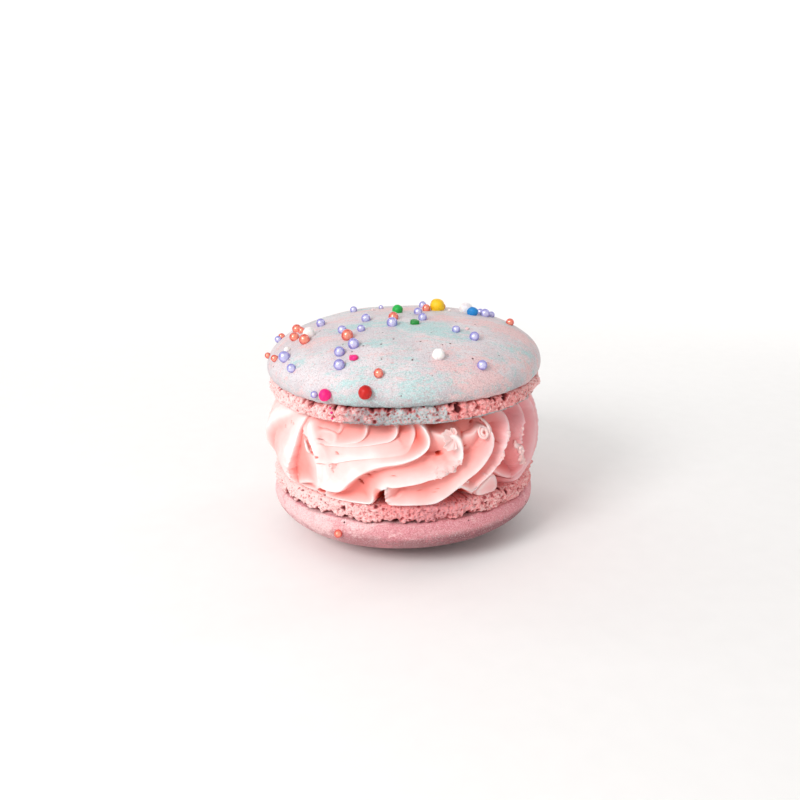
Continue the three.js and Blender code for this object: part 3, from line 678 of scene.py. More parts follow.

# Stations of each petal's edge from the top down: azimuth in degrees from the front, height in mm. hem goes
# on from the last one, back up or under the petal before. Traits are one for the petal, or one for each
# station. inset sets the crest back; behind it the face falls by depth over width and goes on falling by
# floor, and past reach it dives under the petal behind; soft makes the drop in front gentle, ragged frays
# the crest, and the two shade traits, for the face and for the drop in front, are painted shade: how much
# darker and pinker they are coloured than their depth makes them. guide, where given, leads the mesh's
# columns in place of the edge.
PETALS = [
    {"edge": [(-48, 28), (-55.5, 26.7), (-63.6, 24.8), (-72.4, 22.7), (-82, 18.5), (-88, 14.8), (-92, 12)],
     "inset": 0.1, "depth": 0.3, "width": 2.2, "soft": 0.8, "face_shade": 0},
    {"edge": [(-44.5, 28), (-46.2, 25.8), (-46.6, 23.7), (-46.4, 21.8), (-47.4, 19.9), (-49.8, 17.5),
     (-52.4, 15.4), (-52.4, 14.2), (-51, 12)], "inset": [0.6, 0.3, 0.15, 0.1, 0, 0, 0, 0, 0.1],
     "depth": 0.6, "width": 4.6, "face_shade": 0.1, "ragged": [0.1, 0.1, 0.1, 0.2, 0.5, 0.7, 0.6, 0.5, 0.1]},
    {"edge": [(-30, 28.3), (-28, 26), (-27.6, 24.6), (-30, 24.4)], "hem": [(-34.3, 24.6), (-42, 24.8),
     (-48, 25.2)], "guide": [(-30, 28.3), (-28, 26), (-31, 24), (-44, 22.5), (-47, 20), (-47, 12)],
     "inset": [1.7, 1.5, 1.2, 1.15, 1.1, 1.1, 1.2], "soft": [1, 0.8, 0.2, 0.1, 0, 0, 0], "depth": 0.6,
     "width": 0.5, "face_shade": 0.3},
    {"edge": [(-49, 25.2), (-43.1, 24.8), (-34.3, 24.6), (-29.6, 24.4), (-27.6, 23.7), (-27.4, 22.6)],
     "guide": [(-24, 28.3), (-24, 25.5), (-27, 23.8), (-37, 22.4), (-44.5, 20), (-44.5, 12)], "inset": [1.3,
     1.1, 1.05, 1.05, 1.1, 1.1], "depth": 0.75, "width": 0.4, "soft": 0.2, "reach": 2, "face_shade": 0.1},
    {"edge": [(-17.8, 28), (-15.8, 26.1), (-15.3, 25), (-16.9, 23.9), (-21.5, 23.3), (-27, 22.9)],
     "hem": [(-33.8, 23.1), (-39.5, 23.5), (-45, 23.9)], "guide": [(-17.8, 28), (-15.3, 25.7), (-18, 24.2),
     (-28.5, 23.2), (-40, 21), (-41.5, 19), (-41, 12)], "inset": [1.2, 0.9, 0.8, 0.75, 0.75, 0.8, 0.8, 0.85,
     0.9], "soft": [0.6, 0.2, 0, 0, 0, 0, 0, 0, 0], "depth": 1.2, "width": 0.5, "floor": 0.1, "face_shade": [0.6,
     0.6, 0.6, 0.4, 0.1, 0, 0, 0, 0]},
    {"edge": [(-5, 28.2), (-2.8, 26.2), (-2.9, 24.9), (-5.4, 24.0), (-10, 23.6), (-18, 23.0), (-26, 22.7)],
     "hem": [(-34, 22.5), (-39.2, 22.8), (-43.8, 23.4)], "guide": [(-5, 28.2), (-2.7, 25.8), (-5.8, 24),
     (-16.8, 23.2), (-26, 22.6), (-34, 20), (-35, 18), (-35, 12)], "inset": 0.45, "depth": 1.4,
     "width": 0.6, "floor": 0.12, "face_shade": [0.8, 0.8, 0.7, 0.5, 0.3, 0.1, 0, 0, 0, 0]},
    {"edge": [(0.5, 28.2), (3.0, 26.7), (4.3, 25.3), (4.0, 24.3), (2.9, 23.2), (1.0, 22.2)],
     "hem": [(-4, 21.8), (-10.5, 21.5), (-20, 20.9), (-28.2, 19.9), (-33, 19.7), (-36.5, 21.2),
     (-40.5, 22.9), (-44, 24)], "guide": [(0.5, 28.2), (3.0, 26.7), (4.3, 25.3), (4.0, 24.3), (1, 22.2),
     (-12, 21), (-26, 19), (-29, 17), (-29, 12)], "inset": [1.5, 1.35, 1.2, 1.1, 0.95, 0.75, 0.55, 0.4,
     0.35, 0.35, 0.3, 0.3, 0.4, 0.5], "soft": 0.25, "depth": [1.2, 0.8, 0.5, 0.4, 0.35, 0.3, 0.35, 0.4,
     0.35, 0.35, 0.35, 0.4, 0.5, 0.5], "width": 1.0, "floor": 0.12, "reach": [3, 2.6, 2.4, 2.2, 2, 1.9, 1.8,
     1.7, 2.0, 2.6, 2.8, 1.6, 0.8, 0.5], "face_shade": [2.0, 2.0, 1.9, 1.7, 1.2, 0.7, 0.4, 0.3, 0.2, 0.2, 0.1,
     0.1, 0.1, 0.1]},
    {"edge": [(3.5, 28), (7.3, 26.4), (9.6, 24.6), (9.3, 23.2), (6, 22), (0, 21), (-9, 20.3), (-15.8, 18.8),
     (-20, 17.2), (-25.2, 14.9), (-30, 14.6), (-34.2, 14.8)], "hem": [(-35.6, 14.2), (-34.4, 16.2),
     (-34.0, 17.6), (-33.8, 19.2), (-35, 21), (-38, 23), (-41.5, 25)], "guide": [(3.5, 28), (7.3, 26.4),
     (9.6, 24.6), (9.3, 23.2), (0, 21), (-9, 20.3), (-15.8, 18.8), (-20, 17.2), (-25.2, 14.9), (-25, 12)],
     "depth": [2.4, 2.2, 1.9, 1.7, 1.2, 0.8, 0.5, 0.4, 0.3, 0.25, 0.2, 0.2, 0.2, 0.2, 0.2, 0.3, 0.5, 0.6,
     0.6], "width": [0.9, 0.9, 1.0, 1.0, 1.0, 0.9, 0.9, 1.4, 2.2, 3.0, 3.0, 3.0, 3.0, 3.0, 3.0, 3.0, 2.0,
     1.5, 1.5], "floor": [0.15, 0.15, 0.15, 0.15, 0.2, 0.2, 0.2, 0.15, 0.1, 0.06, 0.06, 0.06, 0.06, 0.06,
     0.06, 0.06, 0.1, 0.1, 0.1], "soft": [0.1, 0.1, 0.1, 0.1, 0.2, 0.3, 0.35, 0.2, 0.1, 0, 0, 0, 0, 0.1,
     0.3, 0.35, 0.4, 0.5, 0.6], "reach": [3, 3, 2.6, 2.2, 1.8, 1.6, 1.6, 2.6, 4, 6, 8, 8, 8, 6, 4, 2.5, 1.5,
     0.8, 0.5], "face_shade": [2.2, 2.5, 2.6, 2.6, 2.1, 1.3, 0.4, 0, 0] + [0] * 5 + [0, 0.2, 0.4, 0.4, 0.4]},
    {"edge": [(5, 26.5), (9.5, 25.2), (12.8, 24.6), (16.4, 24.3), (20.2, 24.2), (21.9, 23), (21.7, 21.6),
     (21.3, 20.4), (20.2, 19.5), (16.7, 18.7), (10.4, 18.0), (5.1, 17.4), (-1.2, 16.9), (-7.8, 16.3),
     (-10.6, 14.9), (-13, 13)], "hem": [(-22, 12.7), (-31.5, 12.7), (-32.6, 13.4), (-31.3, 14.4)],
     "guide": [(14, 28), (17.4, 26), (20.5, 24.9), (21.9, 23), (21.7, 21.6), (21.3, 20.4), (20.2, 19.5),
     (16.7, 18.7), (10.1, 17.8), (5.1, 17.4), (-1.2, 16.9), (-7.8, 16.3), (-10.6, 14.9), (-13, 13)],
     "inset": [2.9, 2.6, 1.5, 0.6, 0.15] + [0] * 15, "depth": [0.6, 0.8, 1.2, 1.6,
     1.9] + [2.0] * 12 + [2.2] * 3, "width": [1.0, 1.2, 1.4, 1.6, 1.8] + [1.8] * 8 + [1.3, 1.0, 0.9, 0.7,
     0.7, 0.7, 0.7], "face_shade": [0] * 13 + [0.3, 0.6, 0.9, 0.9, 0.9, 0.9, 0.9], "drop_shade": [2.6, 2.6, 2.2, 1.2,
     0.3] + [0] * 15, "soft": [0.3, 0.3, 0.3, 0.4, 0.5, 0.45, 0.3, 0.1] + [0] * 12, "ragged": [0, 0, 0, 0,
     0.2, 0.3, 0.4, 0.6, 1, 1, 0.7, 0.1] + [0] * 8},
    {"edge": [(12, 24.9), (20.5, 24.5), (24.2, 23.9), (28, 23.9), (32.6, 24.9), (36.2, 23.9), (36.6, 22.7),
     (35.6, 21.5), (33, 20.1), (28.5, 18.4), (24.1, 17.2), (20, 15.6), (16.5, 14.4), (10.3, 12.9),
     (4, 12.9), (-3.3, 13)], "hem": [(-6.5, 13.4), (-7.0, 14.6), (-6.4, 16.6)], "guide": [(30.5, 28),
     (34.2, 25), (36.7, 22.9), (35.8, 21.2), (33, 20.1), (28.5, 18.4), (24.1, 17.2), (20, 15.6),
     (16.5, 14.4), (10.3, 12.9), (4, 12.9), (-3.3, 13)], "inset": [2.4, 2.0, 1.7, 1.2, 0.5, 0.1] + [0] * 13,
     "depth": [0.6, 0.7, 0.8, 1.0, 1.5, 2.0] + [2.1] * 13, "width": [1.2, 1.2, 1.2, 1.2, 1.2, 1.3, 1.4, 1.6,
     1.8, 2.0, 2.2, 2.3, 2.3, 2.3, 2.3, 1.8, 1.2, 1.0, 1.0], "drop_shade": [2.6, 2.4, 2.2, 1.4, 0.5] + [0] * 14,
     "face_shade": 0.6},
    {"edge": [(40.5, 28.4), (45.4, 26.4), (47.2, 24.7), (46.4, 23.2), (44.2, 21.7), (41.6, 20.3),
     (39.4, 19.1), (37.4, 18.2), (35, 17.3), (31.7, 16.3), (29.6, 15.4), (29, 14.5), (29.8, 13.6)],
     "hem": [(26.7, 14.6), (22.4, 15.8)], "guide": [(40.5, 28.4), (45.4, 26.4), (47.2, 24.7), (46.4, 23.2),
     (44.2, 21.7), (41.6, 20.3), (39.4, 19.1), (37.4, 18.2), (35.5, 17.2), (34.5, 15), (34, 12)],
     "inset": 0.15, "depth": [1.6, 1.7, 1.9, 2.2] + [2.5] * 11, "width": [0.8] * 11 + [0.7, 0.8, 0.9, 0.9],
     "face_shade": [0.2, 0.3, 0.5] + [0.6] * 12, "ragged": [0, 0, 0.1, 0.3, 0.6, 0.8, 0.7, 0.5, 0.2, 0, 0, 0, 0,
     0, 0]},
    {"edge": [(53, 28.3), (59.3, 26), (60.1, 24.4), (58.2, 22.7), (55.4, 21.6), (53.2, 20.7), (52.6, 19.4),
     (53.8, 18), (57, 16.8), (59.8, 15.7), (58.2, 14.9), (55.2, 14.4), (54.6, 13.4)], "hem": [(49.5, 14.3),
     (44.1, 15.4), (38.5, 16.8)], "inset": [0.25] * 7 + [0.4, 0.55, 0.5, 0.6, 0.7, 0.8, 1.0, 1.1, 1.2],
     "depth": [2.3, 2.3, 2.3, 2.2, 2.0, 1.7, 1.4, 1.2, 1.1, 1.1, 1.1, 1.2, 1.3, 1.4, 1.4, 1.4],
     "width": [0.65, 0.65, 0.65, 0.8, 1.1, 1.6, 2.2, 2.6, 2.6, 2.4, 2.0, 1.6, 1.4, 1.2, 1.2, 1.2],
     "face_shade": [0.3] * 4 + [0.9, 1.9, 2.8, 3.5] + [3.9] * 8, "drop_shade": [0] * 13 + [2.0, 2.6, 2.6],
     "ragged": [0, 0, 0.2, 0.6, 0.9, 1, 1, 0.7, 0.5, 0.3] + [0] * 6},
]
# Buttercream that shows in the fold left of the long petal, a lip under it, and a drop squeezed out below a
# petal.
EXTRAS = [
    {"edge": [(-41, 25.2), (-38.2, 23), (-36, 21.4), (-34, 19.6), (-33, 18), (-34, 16), (-35.5, 14),
     (-36, 12)], "inset": 0.15, "depth": 1.5, "width": 2.2, "floor": 0.02, "soft": 0.6, "face_shade": 0.5},
    {"edge": [(-34.5, 14.9), (-38.5, 15.1), (-43, 14.7), (-48, 13.7), (-51.5, 12.6)], "inset": 0.75,
     "depth": 1.2, "width": 1.3, "soft": 0.5, "face_shade": 1.2},
    {"edge": [(35.6, 16.8), (37.4, 16.4), (39.6, 15.3), (41.3, 13.9), (41.4, 13.0), (38.5, 12.7),
     (33, 12.9), (30.6, 13.6)], "hem": [(31.5, 14.6), (33, 15.5), (35.2, 16.4)], "inset": 0.45,
     "depth": 0.25, "width": 1.2, "floor": 0.02, "face_shade": 0.75},
]
FAR = {"from": 74, "spacing": 13.3, "count": 16}  # the petals of the far side follow by rule
FAR_STATIONS = np.array([(-9, 28.4), (-3, 26), (0, 23), (-2.5, 20.2), (-7, 17.4), (-11, 14.6), (-16, 12)])

# Tears, bubbles and gaps: azimuth, height, half-length and half-height in mm, tilt in degrees, depth in mm.
TEARS = [
    (-45.2, 23.6, 0.6, 0.26, -30, 0.9), (-43.0, 23.1, 0.55, 0.3, -40, 1.0),
    (-40.6, 22.5, 0.7, 0.36, -45, 1.1), (-38.4, 21.8, 0.75, 0.42, -40, 1.3),
    (-36.9, 20.9, 0.5, 0.3, -35, 1.1), (-33.8, 20.6, 0.5, 0.18, 0, 0.8),
    (-26.1, 21.5, 0.42, 0.15, -45, 0.8), (14.0, 21.5, 0.55, 0.28, 15, 1.0),
    (25.8, 22.0, 0.25, 0.18, 0, 0.5), (6.5, 15.4, 0.22, 0.18, 0, 0.6), (-3.6, 18.5, 0.25, 0.15, -40, 0.5),
    (13.2, 15.8, 0.15, 0.12, 0, 0.4), (11.9, 15.3, 0.15, 0.12, 0, 0.4), (-15.3, 18.4, 0.7, 0.16, -40, 0.45),
    (-13.8, 18.1, 0.7, 0.15, -45, 0.4), (-17.8, 16.9, 0.55, 0.17, -35, 0.6),
    (-17.0, 16.4, 0.5, 0.15, -30, 0.5), (-11.9, 18.9, 0.5, 0.13, -30, 0.3),
    (-54.5, 24.4, 0.55, 0.14, -30, 0.4), (-52.1, 24.4, 0.35, 0.12, -30, 0.4),
    (-58.3, 23.2, 0.5, 0.14, -35, 0.4), (-31.9, 19.6, 0.9, 0.09, 5, 0.3), (-9.1, 14.3, 1.35, 2.4, 12, 0.9),
    (-34.3, 14.0, 1.0, 0.6, 0, 2.0), (12.0, 26.1, 1.5, 0.7, -8, 0.9), (40.0, 22.0, 0.5, 0.2, -60, 0.5),
    (33.0, 26.0, 0.5, 0.3, 0, 0.6), (37.2, 25.4, 0.55, 0.3, 30, 0.9), (31.2, 25.3, 0.5, 0.2, 15, 0.5),
    (50.2, 25.3, 0.4, 0.15, 60, 0.5), (44.0, 20.1, 0.5, 0.2, -70, 0.8), (23.3, 13.9, 2.3, 0.8, -8, 2.4),
    (-27.0, 18.6, 0.4, 0.1, -60, 0.2), (47.0, 14.7, 3.4, 0.35, -14, 2.0), (22.7, 21.2, 0.6, 0.25, 30, 0.7),
]

# %% Petals of the far side
def far_petal(i):
    """Petal number i of the far side: the same stations, varied in pitch, sweep and height by sine
    waves."""
    corner = FAR["from"] + FAR["spacing"] * i + 1.8 * math.sin(2.7 * i)
    sweep = 1 + 0.3 * math.sin(1.9 * i + 1)
    rise = 0.8 * math.sin(3.1 * i + 2)
    stations = FAR_STATIONS * np.array([sweep, 1]) + np.array([corner, 0])
    stations[1:5, 1] += rise
    return {"edge": [tuple(station) for station in stations], "inset": 0.3 * (1 + math.sin(2.3 * i)),
            "ragged": 0.12 * (1 + math.sin(1.7 * i)), "width": 1.4 + 0.5 * math.sin(4.1 * i), "face_shade": 0.1}


piped = PETALS + [far_petal(i) for i in range(FAR["count"])]
petals = piped + EXTRAS
print(len(petals), "petals")

# %% Edges as curves
def smooth_run(stations, steps=7):
    """Rows on a smooth curve through the stations, whose first two columns are places in mm: between two
    stations it is the cubic whose slopes come from the stations before and after, with times from the
    square roots of the gaps."""
    known = np.concatenate([[2 * stations[0] - stations[1]], stations, [2 * stations[-1] - stations[-2]]])
    gap = np.sqrt(np.linalg.norm(np.diff(known[:, :2], axis=0), axis=1))[:, None]
    p0, p1, p2, p3 = known[:-3], known[1:-2], known[2:-1], known[3:]
    g0, g1, g2 = gap[:-2], gap[1:-1], gap[2:]
    slope1 = ((p1 - p0) / g0 - (p2 - p0) / (g0 + g1) + (p2 - p1) / g1) * g1
    slope2 = ((p2 - p1) / g1 - (p3 - p1) / (g1 + g2) + (p3 - p2) / g2) * g1
    t = (np.arange(steps) / steps)[:, None, None]
    run = (2 * t**3 - 3 * t**2 + 1) * p1 + (t**3 - 2 * t**2 + t) * slope1
    run += (3 * t**2 - 2 * t**3) * p2 + (t**3 - t**2) * slope2
    return np.concatenate([run.transpose(1, 0, 2).reshape(-1, known.shape[1]), known[-2:-1]])


def petal_run(petal):
    """The whole edge with its hem as rows of place along, place up and then the traits in their order."""
    places = petal["edge"] + petal.get("hem", [])
    traits = [np.broadcast_to(petal.get(name, usual), len(places)) for name, usual in PETAL_TRAITS.items()]
    return smooth_run(np.column_stack([np.radians(SIDE_RADIUS) * np.array(places)[:, 0],
                                       np.array(places)[:, 1], *traits]))


def from_edge(run, along, up):
    """Distance in mm of each point of the side from an edge, above 0 on the petal, how far along the edge
    that is, the direction that leads off it, and the edge's traits there, all from the nearest step."""
    start, step = run[:-1, :2], np.diff(run[:, :2], axis=0)
    to_x, to_y = along[:, None] - start[:, 0], up[:, None] - start[:, 1]
    share = np.clip((to_x * step[:, 0] + to_y * step[:, 1]) / (step**2).sum(1), 0, 1)
    distance = np.hypot(to_x - share * step[:, 0], to_y - share * step[:, 1])
    nearest = distance.argmin(1)
    every = np.arange(len(along))
    run_x, run_y = step[nearest].T
    inside = run_x * to_y[every, nearest] - run_y * to_x[every, nearest] < 0
    off = np.stack([-run_y, run_x], -1) / np.hypot(run_x, run_y)[:, None]
    beyond = share[every, nearest][:, None]
    traits = run[nearest, 2:] * (1 - beyond) + run[nearest + 1, 2:] * beyond
    lengths = np.append(0, np.cumsum(np.hypot(*step.T)))
    travelled = lengths[nearest] + beyond[:, 0] * np.diff(lengths)[nearest]
    return np.where(inside, 1, -1) * distance[every, nearest], travelled, off, np.clip(traits, 0, None).T


runs = [petal_run(petal) for petal in petals]
guides = [smooth_run(np.array(petal.get("guide", petal["edge"])) * np.array([np.radians(SIDE_RADIUS), 1]))
          for petal in piped]
print("edges from", min(len(run) for run in runs), "to", max(len(run) for run in runs), "points")

# %% Relief of the buttercream
LEAN, LEAN_WIDTH = 0.5, 0.7  # mm, how far a crest leans over the drop in front of it
STREAKS = [(0.9, 0.05), (0.4, 0.03)]  # width and height in mm of the streaks that run along a petal
# Painted shade: a petal's face and the drop in front turn darker and pinker from this distance on.
SHADE_START = 0.5  # mm from a crest, where its face and the drop in front turn pinker
FAR_BEHIND, FAR_BEFORE = 12.0, 6.0  # mm, past which a petal no longer counts
DIVE = 1.1  # slope of a face past its reach


def petal_depth(distance, depth, width, floor, soft, reach):
    """Depth of one petal's surface below its crest. On it, the face falls as depth * (1 - exp(-(distance /
    width) ** 1.5)) + floor * distance, and by DIVE more past its reach. In front the drop is a hyperbola,
    slope * (sqrt(distance ** 2 + rounding ** 2) - rounding)."""
    on, off = np.clip(distance, 0, None), np.clip(-distance, 0, None)
    face = depth * (1 - np.exp(-(on / width) ** 1.5)) + floor * on + DIVE * np.clip(on - reach, 0, None)
    slope, rounding = [sharp + (gentle - sharp) * soft for sharp, gentle in zip(SHARP_DROP, SOFT_DROP)]
    return np.where(distance > 0, face, slope * (np.sqrt(off**2 + rounding**2) - rounding))


def tears(along, up):
    """Depth of the tears and gaps: each is an oval bowl, 1 - (distance in half-widths) ** 2, but not below
    0."""
    total = np.zeros(len(along))
    for azimuth, height, half_long, half_high, tilt, deep in TEARS:
        across, above = along - math.radians(azimuth) * SIDE_RADIUS, up - height
        turn_cos, turn_sin = math.cos(math.radians(tilt)), math.sin(math.radians(tilt))
        major = (across * turn_cos + above * turn_sin) / half_long
        minor = (above * turn_cos - across * turn_sin) / half_high
        total += deep * np.clip(1 - major**2 - minor**2, 0, None)
    return total


def relief(along, up):
    """Depth of the side inside its crests, how far each point shifts along and up, and how much shade it
    lies in.

    The petals join by a soft minimum: minus BLEND times the logarithm of the sum of exp(-depth / BLEND).
    Near a crest the points shift off the petal, most on the crest itself, so that it leans over. Shade is the
    painted shade that colours the buttercream: a mean of the depth below the petal's own crest, with the
    painted shade traits of its face and drop, and the whole depth, and more in a tear."""
    flat = np.stack([along, up, 0 * up], -1)
    fray = 0.28 * smooth_noise(flat, 0.9, 31) + 0.2 * smooth_noise(flat, 0.4, 32)
    total = np.full(len(along), math.exp(-CORE_DEPTH / BLEND))
    shift = np.zeros((len(along), 2))
    torn, streaked, own = np.zeros(len(along)), np.zeros(len(along)), CORE_DEPTH * total
    for petal, run in zip(petals, runs):
        middle = run[:, 0].mean()
        here = along - SIDE_TURN * np.round((along - middle) / SIDE_TURN)
        near = (here > run[:, 0].min() - FAR_BEHIND) & (here < run[:, 0].max() + FAR_BEFORE)
        distance, travelled, off, traits = from_edge(run, here[near], up[near])
        inset, depth, width, floor, soft, ragged, reach, face_shade, drop_shade = traits
        own_noise = np.full(len(distance), middle)
        silk = [np.stack([travelled / 8, distance / size, own_noise], -1) for size, _ in STREAKS]
        distance = distance + (0.05 + ragged) * fray[near] - LEAN * (1 - np.clip(soft, 0, 1))
        below = petal_depth(distance, depth, width, floor, soft, reach)
        weight = np.exp(-(inset + below) / BLEND)
        total[near] += weight
        streaks = [high * smooth_noise(line, 1.0, 35) for line, (_, high) in zip(silk, STREAKS)]
        streaked[near] += weight * sum(streaks)
        away = 1 - np.exp(-(distance / SHADE_START) ** 2)
        # Painted shade: a petal's face, and the drop in front of its crest, are coloured darker by their
        # shade traits.
        own[near] += weight * (below + np.where(distance > 0, face_shade, drop_shade) * away)
        lean = LEAN * (1 - np.clip(soft, 0, 1)) * np.exp(-(distance / LEAN_WIDTH) ** 2)
        shift[near] += off * (lean * weight)[:, None]
        torn[near] = np.maximum(torn[near], ragged * np.exp(-(distance / 1.0) ** 2))
    crumbs = torn * 0.22 * (smooth_noise(flat, 0.45, 33) + smooth_noise(flat, 0.25, 34))
    whole, torn_open = np.clip(-BLEND * np.log(total), 0, CORE_DEPTH), tears(along, up)
    streaked = streaked / total
    shade = 0.65 * own / total + 0.35 * whole + 3.4 * torn_open**0.5 + 1.5 * streaked
    return whole + torn_open + crumbs + streaked, shift / total[:, None], shade

# %% Surface of the buttercream
CREAM_ROWS = 122
COLUMN_SHARES = np.concatenate([np.linspace(0, 0.18, 7)[:-1], np.linspace(0.18, 0.8, 15)[:-1],
                                np.linspace(0.8, 1, 8)[:-1]])
EDGE_ROUND, EDGE_ROUND_DEPTH = 1.1, 0.7  # mm, the rounding where the filling meets a shell


def crossings(height):
    """Where each petal's edge crosses a height, in mm along the side, in order and kept a little apart."""
    places = np.array([np.interp(-height, -guide[:, 1], guide[:, 0]) for guide in guides])
    for i in range(1, len(places)):
        places[i] = max(places[i], places[i - 1] + LEAST_PITCH)
    return places


levels = np.linspace(CREAM_TOP, CREAM_BOTTOM, CREAM_ROWS)
edge_places = np.array([crossings(level) for level in levels]) - LEAN
after = np.concatenate([edge_places[:, 1:], edge_places[:, :1] + SIDE_TURN], 1)
along = (edge_places[..., None] + (after - edge_places)[..., None] * COLUMN_SHARES).reshape(CREAM_ROWS, -1)
up = np.broadcast_to(levels[:, None], along.shape)
parts = relief(along.ravel(), up.ravel())
depth, shift, shade = [part.reshape(*along.shape, *part.shape[1:]) for part in parts]

to_end = np.minimum(levels - CREAM_BOTTOM, CREAM_TOP - levels)
rounding = EDGE_ROUND_DEPTH * np.clip(1 - to_end / EDGE_ROUND, 0, 1) ** 2
crest_radius = CREST["radius"] - CREST["fall"] * ((levels - CREST["height"]) / CREST["reach"]) ** 2
side_radius = (crest_radius - rounding)[:, None] - depth
side_angle = (along + shift[..., 0]) / SIDE_RADIUS
height_share = (up - CREAM_BOTTOM) / (CREAM_TOP - CREAM_BOTTOM)
lean_up = -math.tan(UPPER_ROLL) * side_radius * np.sin(side_angle) * height_share
side_up = up + shift[..., 1] * np.clip(to_end / EDGE_ROUND, 0, 1)[:, None]
side_up = np.clip(side_up, CREAM_BOTTOM, None) + lean_up
side_points = np.stack([side_radius * np.sin(side_angle), -side_radius * np.cos(side_angle), side_up], -1)

flat, quads, ends = closed_rows(side_points)
piped_cream = mesh_object("piped_cream", flat, quads, ends)
store(piped_cream, "shade", np.append(shade, [CORE_DEPTH, CORE_DEPTH]))
turned = np.degrees(np.arctan2(flat[:, 0], -flat[:, 1]))
# Painted shade: the right side of the buttercream, from azimuth 26 on, is coloured a cooler, darker pink.
store(piped_cream, "right_side_shade", 0.45 * np.clip((turned - 26) / 30, 0, 1) * np.clip((170 - turned) / 40, 0, 1))
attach(piped_cream, "root")
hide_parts("cream")
print("piped_cream", len(flat), "points,", 2 * len(quads) + len(ends), "triangles, channels up to",
      round(float(depth.max()), 1), "mm deep")

# %% [markdown]
# ## Torn curls and crumbs
# Where the nozzle was pulled off, the buttercream tore: a flap stands off one petal's corner, a thread
# curled up into a ring, and small crumbs hang on the frayed crests. A thread is a tube along a path. A flap
# is the same, but its section is a thin leaf that reaches from the middle of a fan to its rim. Crumbs are
# dented balls, dropped onto the side by a ray. Which way a tube's faces point depends on how its path runs,
# so its volume tells: where it comes out below 0, the faces are turned over.

# %% Curls and crumbs
# Threads: stations of azimuth, height and inset in mm from the crests' side, then radius in mm.
THREADS = [
    ([(33.2, 26.9, 0.9), (34.2, 26.2, 0.3), (35.2, 25.6, 0), (35.5, 24.6, -0.1), (35.2, 23.9, 0)], 0.24),
    ([(36.1, 25.6, 0.7), (36.8, 24.9, 0.3), (37.0, 24.2, 0.2)], 0.16),
    ([(-42.2, 22.4, 0.5), (-40.2, 21.9, 0.2), (-38.4, 21.0, 0.1), (-37.4, 20.7, 0.3)], 0.22),
    ([(16.2, 22.9, 1.5), (18.4, 23.3, 0.9), (20.2, 23.9, 0.3), (21.2, 24.6, 0.2)], 0.26),
]
# Rolled-up threads: middle's azimuth, height and inset, radius in mm, turns, and the thread's radius in mm.
ROLLS = [(32.4, 24.35, 0.0, 1.0, 1.7, 0.27), (-27.6, 19.4, 0.1, 0.42, 1.2, 0.15)]
# Fans: middle's azimuth, height and inset, radius in mm, first and last direction in degrees from the
# right, rim's lift.
FANS = [(20.6, 24.1, 0.7, 2.7, 92, 246, 0.8)]
# Crumbs: from azimuth and height to azimuth and height, how many, and their diameter in mm.
CRUMB_RUNS = [
    ((21.6, 20.6), (17.0, 18.9), 14, 0.34), ((17.0, 18.9), (10.5, 18.2), 10, 0.28),
    ((15.4, 19.5), (11.5, 19.2), 8, 0.32), ((46.4, 23.4), (43.4, 21.3), 14, 0.5),
    ((43.0, 20.9), (39.4, 19.1), 11, 0.42), ((49.0, 21.0), (52.4, 19.2), 18, 0.7),
    ((51.6, 20.0), (55.0, 16.9), 30, 0.8), ((57.8, 22.7), (54.0, 21.2), 9, 0.46),
    ((54.6, 17.5), (58.8, 16.0), 14, 0.5), ((-51.4, 15.9), (-51.6, 14.4), 5, 0.3),
    ((26.2, 16.8), (24.6, 16.2), 4, 0.42), ((6.0, 22.2), (2.4, 21.9), 3, 0.2),
]
STRAY = (0.5, 0.22)  # degrees and mm that a crumb strays from its run
RAY_DEPTHS = (-6.0, 20.0)  # mm inside the crest, where the ray that drops a crumb starts and ends
THREAD_SIDES, LEAF_SIDES = 10, 18


def side_point(stations):
    """Points in mm from rows of azimuth, height and inset behind the crests' side."""
    turn, up, inset = np.radians(stations[..., 0]), stations[..., 1], stations[..., 2]
    out = CREST["radius"] - CREST["fall"] * ((up - CREST["height"]) / CREST["reach"]) ** 2 - inset
    return np.stack([out * np.sin(turn), -out * np.cos(turn), up], -1)


def closed_tube(sections):
    """Points and faces of a tube from its sections, closed at both ends. The faces are turned over where
    the volume, the sum of a . (b x c) / 6 over all triangles, is below 0."""
    points, quads, ends = closed_rows(sections)
    triangles = points[np.concatenate([quads[:, [0, 1, 2]], quads[:, [0, 2, 3]], ends])]
    volume = np.einsum("ij,ij->i", triangles[:, 0], np.cross(triangles[:, 1], triangles[:, 2])).sum() / 6
    return (points, quads, ends) if volume > 0 else (points, quads[:, ::-1], ends[:, ::-1])


def thread(stations, radius):
    """A round tube along a smooth path, thinner at both ends: radius times sqrt(sin(share of the path))."""
    path = side_point(smooth_run(np.array(stations, float), 8))
    tangent = np.gradient(path, axis=0)
    tangent /= np.linalg.norm(tangent, axis=1, keepdims=True)
    outward = path * np.array([1, 1, 0])
    outward -= (outward * tangent).sum(1, keepdims=True) * tangent
    outward /= np.linalg.norm(outward, axis=1, keepdims=True)
    beside = np.cross(outward, tangent)
    turn = np.linspace(0, 2 * math.pi, THREAD_SIDES, endpoint=False)[None, :, None]
    share = np.linspace(0.04, 0.96, len(path))
    thick = (radius * np.sqrt(np.sin(math.pi * share)))[:, None, None]
    thick = thick * (1 + 0.25 * smooth_noise(path, 0.4, 36)[:, None, None])
    return path[:, None] + thick * (np.cos(turn) * outward[:, None] + np.sin(turn) * beside[:, None])


def roll(around, height, inset, wide, turns):
    """Stations of a spiral that winds in to 0.3 of its radius: 8 of them a turn."""
    share = np.linspace(0, 1, int(8 * turns) + 1)
    direction = 1.0 + 2 * math.pi * turns * share
    out = wide * (1 - 0.7 * share)
    return np.stack([around + np.degrees(out * np.cos(direction) / SIDE_RADIUS),
                     height + out * np.sin(direction), inset - 0.25 * share], -1)


